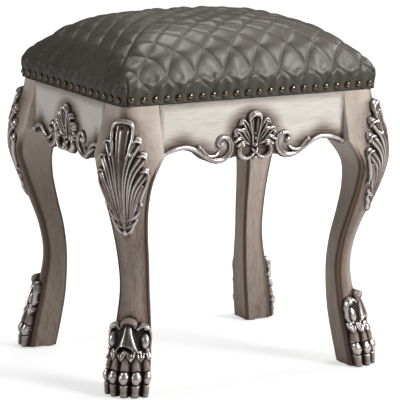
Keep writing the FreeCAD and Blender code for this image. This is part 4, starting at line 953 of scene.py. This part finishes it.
seat_points, seat_faces, seat_places, top_count = seat_form()
seam_a = (seat_places[:, 0] + seat_places[:, 1] + 1) / 2
seam_b = (seat_places[:, 0] - seat_places[:, 1] + 1) / 2
seam_gap = np.minimum(np.abs(seam_a - np.round(seam_a)), np.abs(seam_b - np.round(seam_b)))
print("seat:", len(seat_points), "points,", int((seam_gap < 0.01).sum()), "of them on seams")

# %% [markdown]
# Pressure alone would blow the cover up like a balloon, so each point may move only a few
# millimetres, and the wall moves less and less towards the nails that hold it down.

# %% Swell the padding between the seams
def soften(shift, passes=2):
    """Even out how far neighbouring points of the top moved."""
    grid = shift.reshape(QUILT[1] * FINE + 1, QUILT[0] * FINE + 1, 3)
    for _ in range(passes):
        for axis in (0, 1):
            pad = [(1, 1) if a == axis else (0, 0) for a in range(3)]
            wide = np.pad(grid, pad, mode="edge")
            count = grid.shape[axis]
            before, after = (np.take(wide, range(first, first + count), axis) for first in (0, 2))
            grid = (before + 2 * grid + after) / 4
    return grid.reshape(-1, 3)


def swell(points, faces, pinned, frames=20, cap=4.6):
    """Cloth with air pressure under it; returns the moved points."""
    bag = make_mesh("seat_bag", points, faces)
    pins = bag.vertex_groups.new(name="seams")
    for number in np.nonzero(pinned)[0]:
        pins.add([int(number)], 1.0, "REPLACE")
    cloth = bag.modifiers.new("swell", "CLOTH")
    settings = cloth.settings
    settings.quality = 6
    settings.mass = 0.25
    settings.tension_stiffness = 6
    settings.compression_stiffness = 6
    settings.bending_stiffness = 0.2
    settings.use_pressure = True
    settings.uniform_pressure_force = 4.0
    settings.vertex_group_mass = "seams"
    settings.shrink_min = -0.06
    settings.effector_weights.gravity = 0
    cloth.point_cache.frame_end = frames
    scene = bpy.context.scene
    for step in range(1, frames + 1):
        scene.frame_set(step)
    done = bag.evaluated_get(bpy.context.evaluated_depsgraph_get())
    moved = np.empty(len(points) * 3, np.float32)
    done.data.vertices.foreach_get("co", moved)
    shift = moved.reshape(-1, 3) / MM - points
    length = np.linalg.norm(shift, axis=1, keepdims=True)
    shift *= np.minimum(1, cap / np.maximum(length, 1e-6))
    shift[:top_count] = soften(shift[:top_count])
    calm = np.interp(points[top_count:, 2], [NAIL_LEVEL + 3, WALL_TOP], [0.2, 0.9])
    shift[top_count:] *= calm[:, None]
    scene.frame_set(1)
    mesh = bag.data
    bpy.data.objects.remove(bag)
    bpy.data.meshes.remove(mesh)
    return points + shift, float(length.max())


START_DROP = 1.5
band = seat_points[:, 2] < NAIL_LEVEL + 3
pinned = band | (seam_gap < 0.01)
start_form = seat_points.copy()
to_side = np.minimum(HALF_X - np.abs(seat_points[:, 0]), HALF_Y - np.abs(seat_points[:, 1]))
from_border = to_side - BORDER_INSET
start_form[:, 2] -= START_DROP * np.clip(from_border / 30, 0, 1)
swollen, furthest = swell(start_form, seat_faces, pinned)
print("furthest the padding moved:", round(furthest, 1), "mm")

# %% [markdown]
# Subdivision rounds the pillows. After it comes what is finer than the cloth's grid: soft
# valleys with a sharp seam in them, the gathers between the nails, and the pleat that is
# folded at each corner to take up the spare leather.

# %% Finish the cover
NAIL_INSET = 14.0
nail_half = (HALF_X - 1.5, HALF_Y - 1.5)
NAIL_COUNT = (22, 16)
SEAM_PITCH = 32
GATHER = 0.75
PLEAT_INSET, PLEAT_TOP, PLEAT_DEPTH = 9, 476, 2.2


def finish_cover(points):
    wall_share = np.clip((SHOULDER + 6 - seat_points[:, 2]) / 14, 0, 1)
    labels = {"seam_a": seam_a, "seam_b": seam_b, "wall": wall_share}
    piece = make_mesh("seat_leather", points, seat_faces[:-1], labels)
    rounder = piece.modifiers.new("rounder", "SUBSURF")
    rounder.levels = rounder.render_levels = 2
    done = piece.evaluated_get(bpy.context.evaluated_depsgraph_get())
    mesh = bpy.data.meshes.new_from_object(done)
    piece.modifiers.clear()
    coarse = piece.data
    piece.data = mesh
    bpy.data.meshes.remove(coarse)
    mesh.name = "seat_leather"

    def read(label):
        values = np.empty(len(mesh.vertices), np.float32)
        mesh.attributes[label].data.foreach_get("value", values)
        return values
    a, b, wall = read("seam_a"), read("seam_b"), read("wall")
    co = np.empty(len(mesh.vertices) * 3, np.float32)
    normal = np.empty(len(mesh.vertices) * 3, np.float32)
    mesh.vertices.foreach_get("co", co)
    mesh.vertex_normals.foreach_get("vector", normal)
    co, normal = co.reshape(-1, 3) / MM, normal.reshape(-1, 3)
    gap = np.minimum(np.abs(a - np.round(a)), np.abs(b - np.round(b))) * SEAM_PITCH
    valley = 0.8 * np.exp(-(gap / 1.2) ** 2) + 1.15 * np.exp(-(gap / 5.0) ** 2)
    lift = -valley * (1 - 0.35 * wall)
    front = np.abs(co[:, 1]) / HALF_Y > np.abs(co[:, 0]) / HALF_X
    run = np.where(front, co[:, 0], co[:, 1])
    first = np.where(front, nail_half[0], nail_half[1]) - NAIL_INSET
    spacing = 2 * first / (np.where(front, NAIL_COUNT[0], NAIL_COUNT[1]) - 1)
    phase = np.cos(2 * math.pi * (run + first) / spacing)
    over_nail = co[:, 2] - NAIL_LEVEL
    near_nail = np.exp(-(over_nail / 11) ** 2) + 0.6 * np.exp(-((over_nail - 16) / 9) ** 2)
    lift -= GATHER * phase * near_nail * (wall > 0.02)
    pleat = np.abs(np.abs(co[:, 0]) - (HALF_X - PLEAT_INSET)) + 0.12 * np.maximum(co[:, 2] - 455, 0)
    folded = (front & (np.abs(co[:, 1]) > HALF_Y - 10)) * np.clip((PLEAT_TOP - co[:, 2]) / 18, 0, 1)
    fold = np.exp(-(pleat / 1.5) ** 2) * folded
    lift -= PLEAT_DEPTH * fold
    co = co + normal * lift[:, None]
    co[:, 2] = np.maximum(co[:, 2], FRAME_TOP + 0.2)
    mesh.vertices.foreach_set("co", (co * MM).ravel())
    # Painted shade: darker down the seams, in the dimples by the nails, along the hem and in the corner
    # pleats.
    hem = np.exp(-((co[:, 2] - FRAME_TOP) / 3.0) ** 2)
    seam = np.exp(-(gap / 1.1) ** 2) * (1 - 0.3 * wall)
    dimple = 0.6 * near_nail * (0.5 + 0.5 * phase)
    depth = np.clip(seam + dimple + hem + 0.8 * fold, 0, 1)
    mesh.attributes.new("darkening", "FLOAT", "POINT").data.foreach_set("value", depth.astype(np.float32))
    close_underneath(mesh)
    return piece


def close_underneath(mesh):
    """Fill the open rim with one flat face, where the cover is tacked under the board."""
    work = bmesh.new()
    work.from_mesh(mesh)
    bmesh.ops.holes_fill(work, edges=[edge for edge in work.edges if edge.is_boundary])
    work.to_mesh(mesh)
    work.free()
    mesh.update()


seat = finish_cover(swollen)
print("leather:", len(seat.data.polygons), "faces")

# %% [markdown]
# ## Leather
# Coated leather is soft and a little shiny. Its grain is a net of tiny cells and its colour
# drifts slowly. It is duller down in the seams, and painted shade darkens the seams, the nail
# dimples, the hem and the pleats. Short stitches follow the seams, drawn from the same two seam
# numbers that placed the valleys.

# %% Leather finish
HIDE_DARK, HIDE_LIGHT = (0.062, 0.053, 0.042, 1), (0.083, 0.072, 0.058, 1)
PAINTED_SEAM_SHADE, THREAD = (0.018, 0.015, 0.012, 1), (0.12, 0.105, 0.085, 1)
STITCHES_PER_SEAM = 9.0


def build_hide():
    tree, w, given, result = new_group(
        "hide_grain", {"Where": "v", "Darkening": "f", "Seam A": "f", "Seam B": "f"},
        {"Color": "c", "Roughness": "f", "Height": "f"})
    where = given.outputs["Where"]
    cells = w.add("ShaderNodeTexVoronoi", {"Vector": where, "Scale": 820.0}, feature="DISTANCE_TO_EDGE")
    pores = w.fade(cells.outputs[0], 0.0, 0.16)
    drift = w.fade(w.noise(where, 14.0, 3.0), 0.3, 0.7)
    crease = w.noise(where, 160.0, 4.0, 0.7)
    tone = w.mix(drift, HIDE_DARK, HIDE_LIGHT)
    # Painted shade in the seams, nail dimples, hem and pleats, from the seat's attribute.
    tone = w.mix(w.maths("MULTIPLY", given.outputs["Darkening"], 0.75), tone, PAINTED_SEAM_SHADE)
    stitches = 0.0
    for across, along in (("Seam A", "Seam B"), ("Seam B", "Seam A")):
        line = w.maths("PINGPONG", given.outputs[across], 0.5)
        thread = w.fade(line, 0.026, 0.014)
        count = w.maths("MULTIPLY", given.outputs[along], STITCHES_PER_SEAM)
        dash = w.fade(w.maths("PINGPONG", count, 0.5), 0.10, 0.16)
        stitches = w.maths("MAXIMUM", w.maths("MULTIPLY", thread, dash), stitches)
    tone = w.mix(w.maths("MULTIPLY", stitches, 0.6), tone, THREAD)
    w.link(tone, result.inputs["Color"])
    duller = w.maths("MULTIPLY_ADD", given.outputs["Darkening"], 0.2, 0.34)
    w.link(w.maths("MULTIPLY_ADD", crease, 0.16, duller), result.inputs["Roughness"])
    height = w.maths("MULTIPLY_ADD", crease, 0.5, w.maths("MULTIPLY", stitches, 1.5))
    height = w.maths("MULTIPLY_ADD", pores, 0.5, height)
    w.link(height, result.inputs["Height"])
    return tree


def leather_finish():
    constants = {"Coat_Weight": 0.10, "Coat_Roughness": 0.3, "Specular_IOR_Level": 0.5}
    material, w, shader = new_finish("taupe_leather", 0.36, **constants)
    hide = w.add("ShaderNodeGroup", node_tree=build_hide())
    w.link(w.where(), hide.inputs["Where"])
    for label, attribute in (("Darkening", "darkening"), ("Seam A", "seam_a"), ("Seam B", "seam_b")):
        w.link(from_attribute(attribute)(w), hide.inputs[label])
    w.link(hide.outputs["Color"], shader.inputs["Base Color"])
    w.link(hide.outputs["Roughness"], shader.inputs["Roughness"])
    w.roughen(shader, hide.outputs["Height"], 0.22, 0.0004)
    return material


dress(seat, leather_finish(), "taupe_leather", "seat_cover", "seat_foam")
print("leather finish set")

# %% [markdown]
# ## Brass nails
# The nails repeat along a line, so Geometry Nodes set one domed head on every point of a
# guide mesh. The head is a flattened ball, half sunk into the leather; its size is an input
# of the tree.

# %% Nails
def metal_finish(name, bright, dull, rough, metallic=1.0):
    """Metal whose colour and gloss drift a little, as plating does."""
    material, w, shader = new_finish(name, rough, Metallic=metallic)
    drift = w.fade(w.noise(w.where(), 220.0, 4.0), 0.35, 0.7)
    w.link(w.mix(drift, bright, dull), shader.inputs["Base Color"])
    w.link(w.maths("MULTIPLY_ADD", drift, 0.15, rough), shader.inputs["Roughness"])
    return material


HEAD_SIZES = {"Head radius": 4.75 * MM, "Head rise": 3.6 * MM}
brass = metal_finish("antique_brass", (0.30, 0.245, 0.155, 1), (0.09, 0.066, 0.040, 1), 0.24)


def nail_guide():
    """One point per nail, with its outward direction as an attribute."""
    points, outward = [], []
    long_half, short_half = nail_half
    rows = ((long_half, short_half, NAIL_COUNT[0], 0), (short_half, long_half, NAIL_COUNT[1], 90))
    for half, away, count, turn in rows:
        for along in np.linspace(-(half - NAIL_INSET), half - NAIL_INSET, count):
            for side in (0, 180):
                spin = Matrix.Rotation(math.radians(turn + side), 3, "Z")
                points.append(spin @ Vector((along, -away + 0.3, NAIL_LEVEL)))
                outward.append(spin @ Vector((0, -1, 0)))
    guide = make_mesh("nail_guide", points, [])
    facing = guide.data.attributes.new("outward", "FLOAT_VECTOR", "POINT")
    facing.data.foreach_set("vector", np.array(outward).ravel())
    return guide


def nail_tree():
    tree = bpy.data.node_groups.new("nail_heads", "GeometryNodeTree")
    tree.interface.new_socket("Geometry", in_out="INPUT", socket_type="NodeSocketGeometry")
    for label, value in HEAD_SIZES.items():
        socket = tree.interface.new_socket(label, in_out="INPUT", socket_type="NodeSocketFloat")
        socket.default_value = value
    tree.interface.new_socket("Geometry", in_out="OUTPUT", socket_type="NodeSocketGeometry")
    w = Wiring(tree)
    given, result = w.add("NodeGroupInput"), w.add("NodeGroupOutput")
    ball = w.add("GeometryNodeMeshUVSphere", {"Segments": 20, "Rings": 14, "Radius": 1.0})
    radius, rise = given.outputs["Head radius"], given.outputs["Head rise"]
    size = w.add("ShaderNodeCombineXYZ", {0: radius, 1: radius, 2: rise})
    flat = w.add("GeometryNodeTransform", {"Geometry": ball.outputs[0], "Scale": size.outputs[0]})
    facing = w.add("GeometryNodeInputNamedAttribute", {"Name": "outward"}, data_type="FLOAT_VECTOR")
    aim = w.add("FunctionNodeAlignRotationToVector", {"Vector": facing.outputs[0]}, axis="Z")
    spread = {"Points": given.outputs["Geometry"], "Instance": flat.outputs[0], "Rotation": aim.outputs[0]}
    heads = w.add("GeometryNodeInstanceOnPoints", spread)
    real = w.add("GeometryNodeRealizeInstances", {"Geometry": heads.outputs[0]})
    smooth = w.add("GeometryNodeSetShadeSmooth", {"Geometry": real.outputs[0]})
    coat = w.add("GeometryNodeSetMaterial", {"Geometry": smooth.outputs[0], "Material": brass})
    w.link(coat.outputs[0], result.inputs[0])
    return tree


guide = nail_guide()
setter = guide.modifiers.new("heads", "NODES")
setter.node_group = nail_tree()
for item in setter.node_group.interface.items_tree:
    if item.name in HEAD_SIZES:
        setter[item.identifier] = HEAD_SIZES[item.name]
heads = bpy.data.meshes.new_from_object(guide.evaluated_get(bpy.context.evaluated_depsgraph_get()))
guide.modifiers.clear()
bpy.data.objects.remove(guide)
nails = show("nail_heads", heads)
dress(nails, brass, "antique_brass", "nails")
print("nails:", sum(NAIL_COUNT) * 2)

# %% [markdown]
# ## The solids that stay
# The aprons and everything underneath keep their CAD shape and only get a finish: pale wood
# for the aprons, bare wood for the blocks and dowels, zinc plate for the fasteners.

# %% Finish the remaining solids
zinc = metal_finish("zinc_steel", (0.60, 0.60, 0.61, 1), (0.42, 0.42, 0.44, 1), 0.32)


def plain_finish(name, first, second, scale, rough):
    """Soft drift between two tones with a fine bump, for cloth and moulded pieces."""
    material, w, shader = new_finish(name, rough)
    grain = w.noise(w.where(), scale, 4.0, 0.7)
    w.link(w.mix(w.fade(grain, 0.35, 0.65), first, second), shader.inputs["Base Color"])
    w.roughen(shader, grain, 0.3, 0.0003)
    return material


nylon = plain_finish("nylon", (0.10, 0.09, 0.08, 1), (0.14, 0.13, 0.12, 1), 900.0, 0.5)
STAYING = {"apron_front": apron_long, "apron_rear": apron_long,
           "apron_left": apron_short, "apron_right": apron_short,
           "rail_dowels": bare_wood, "seat_board": plywood}
for fastener in ("hanger_bolts", "bolt_washers", "bolt_nuts", "block_screws", "seat_screws"):
    STAYING[fastener] = zinc
for corner in CORNERS:
    STAYING[f"corner_block_{corner}"] = bare_wood
    STAYING[f"glide_{corner}"] = nylon
for node, material in STAYING.items():
    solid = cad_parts[node]
    solid.data.materials.clear()
    solid.data.materials.append(material)
print("solids finished:", len(STAYING))

# %% [markdown]
# ## Dust cover
# A thin black cloth is stapled under the seat board. Its corners are cut away for the corner
# blocks. It is stretched, so it hangs only a millimetre or two between its edges.

# %% Dust cover
SAG, CLOTH_THICK = 1.6, 0.6
CUT_CORNER = 100.7
THREADS_PER_METRE = 900.0
CLOTH_BLACK, CLOTH_DUSTY = (0.010, 0.010, 0.011, 1), (0.040, 0.040, 0.042, 1)


def cambric_finish():
    """Black cloth: two sets of crossing threads, dusted a little grey."""
    material, w, shader = new_finish("black_cambric", 0.85, Sheen_Weight=0.2)
    where = w.where()
    threads = []
    for direction in ("X", "Y"):
        inputs = {"Vector": where, "Scale": THREADS_PER_METRE / 20, "Distortion": 0.6}
        waves = w.add("ShaderNodeTexWave", inputs, bands_direction=direction)
        threads.append(waves.outputs["Fac"])
    weave = w.maths("MULTIPLY", *threads)
    dust = w.maths("MULTIPLY", w.fade(w.noise(where, 30.0), 0.4, 0.8), 0.5)
    share = w.maths("MAXIMUM", w.maths("MULTIPLY", weave, 0.6), dust)
    w.link(w.mix(share, CLOTH_BLACK, CLOTH_DUSTY), shader.inputs["Base Color"])
    w.roughen(shader, weave, 0.4, 0.0003)
    return material


def dust_cloth():
    low, high = [np.array(corner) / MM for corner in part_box("dust_cover")]
    half_x, half_y = (high - low)[:2] / 2
    rows, columns = 41, 49
    s, y = np.meshgrid(np.linspace(-1, 1, columns), np.linspace(-half_y, half_y, rows))
    x = s * np.minimum(half_x, half_x + half_y - CUT_CORNER - np.abs(y))
    slack = SAG * (1 - s ** 2) * (1 - (y / half_y) ** 2)
    upper = np.stack([x, y, high[2] - slack], -1).reshape(-1, 3)
    top = grid_faces(rows, columns)
    count = rows * columns
    rim = [r * columns + c for r, c in grid_rim(rows, columns)]
    walls = [(b, a, a + count, b + count) for a, b in zip(rim, rim[1:] + rim[:1])]
    under = [tuple(i + count for i in face[::-1]) for face in top]
    points = np.vstack([upper, upper - [0, 0, CLOTH_THICK]])
    return make_mesh("dust_cloth", points, top + under + walls, sharp=40)


cloth = dust_cloth()
dress(cloth, cambric_finish(), "black_cambric", "dust_cover")
print("dust cover:", len(cloth.data.polygons), "faces")

# %% [markdown]
# ## Floor, light and camera
# A white studio: a broad key light from the right of the front, a softer light at the right
# side, one from above for the seat, and a weak one from the left so that the shaded side
# keeps its form. The floor glows only for the camera. The glow is weaker near the stool, so
# its shadow shows there, and the surroundings are dimmer for reflections, so that silver and
# leather keep their dark parts.

# %% Stage
LIGHTS = {  # place, target height, size, power
    "key": ((1.5, -2.2, 2.1), 0.35, 1.1, 82),
    "side": ((2.6, 0.1, 1.7), 0.45, 1.2, 32),
    "rim": ((-2.5, 0.7, 1.3), 0.3, 0.8, 13),
    "top": ((0.5, 0.6, 2.6), 0.4, 1.2, 28)}
FLOOR_REACH = 15000
FLOOR_GREY, WHITE = (0.5, 0.5, 0.5, 1), (1, 1, 1, 1)
GLOW_NEAR, GLOW_GAIN = 0.60, 0.36
GLOW_FROM, GLOW_TO = 0.4, 2.0
AMBIENT, LESS_FOR_GLOSS, MORE_FOR_CAMERA = 0.27, -0.20, 0.76


def area_light(name, place, target_height, size, power):
    lamp = bpy.data.lights.new(name, "AREA")
    lamp.shape = "DISK"
    lamp.size = size
    lamp.energy = power
    holder = show(name, lamp)
    holder.location = place
    aim = Vector((0, 0, target_height)) - Vector(place)
    holder.rotation_euler = aim.to_track_quat("-Z", "Y").to_euler()


for name, values in LIGHTS.items():
    area_light(name, *values)

square = [(-1, -1, 0), (1, -1, 0), (1, 1, 0), (-1, 1, 0)]
floor = make_mesh("studio_floor", np.array(square) * FLOOR_REACH, [(0, 1, 2, 3)])
floor_paint, w, shader = new_finish("floor_white", 0.8)
shader.inputs["Base Color"].default_value = FLOOR_GREY
shader.inputs["Emission Color"].default_value = WHITE
path = w.add("ShaderNodeLightPath")
from_stool = w.add("ShaderNodeVectorMath", {0: w.where()}, operation="LENGTH").outputs["Value"]
glow = w.maths("MULTIPLY_ADD", w.fade(from_stool, GLOW_FROM, GLOW_TO), GLOW_GAIN, GLOW_NEAR)
w.link(w.maths("MULTIPLY", path.outputs["Is Camera Ray"], glow), shader.inputs["Emission Strength"])
floor.data.materials.append(floor_paint)

world = bpy.data.worlds.new("studio")
bpy.context.scene.world = world
world.use_nodes = True
w = Wiring(world.node_tree)
path = w.add("ShaderNodeLightPath")
background = world.node_tree.nodes["Background"]
background.inputs["Color"].default_value = WHITE
strength = w.maths("MULTIPLY_ADD", path.outputs["Is Glossy Ray"], LESS_FOR_GLOSS, AMBIENT)
strength = w.maths("MULTIPLY_ADD", path.outputs["Is Camera Ray"], MORE_FOR_CAMERA, strength)
w.link(strength, background.inputs["Strength"])
bpy.context.scene.view_settings.view_transform = "Standard"
print("lights:", list(LIGHTS))

# %% [markdown]
# The camera stands low, to the left of the front, far away with a long lens, as furniture is
# photographed. Its place and angles were fitted to the corners of the stool in the picture.

# %% Camera
YAW, PITCH, ROLL = 0.490, 0.195, 0.004
CAMERA_PLACE = (-1.6135, -3.0408, 0.9180)
look = Vector((math.sin(YAW) * math.cos(PITCH), math.cos(YAW) * math.cos(PITCH), -math.sin(PITCH)))
side = look.cross(Vector((0, 0, 1))).normalized()
over = side.cross(look)
right = math.cos(ROLL) * side + math.sin(ROLL) * over
above = -math.sin(ROLL) * side + math.cos(ROLL) * over
lens = bpy.data.cameras.new("photo_camera")
lens.lens = 209.1
lens.sensor_width = 36
camera = show("photo_camera", lens)
turned = Matrix((right, above, -look)).transposed().to_4x4()
camera.matrix_world = Matrix.Translation(CAMERA_PLACE) @ turned
bpy.context.scene.camera = camera
print("camera at", [round(v, 3) for v in camera.location])
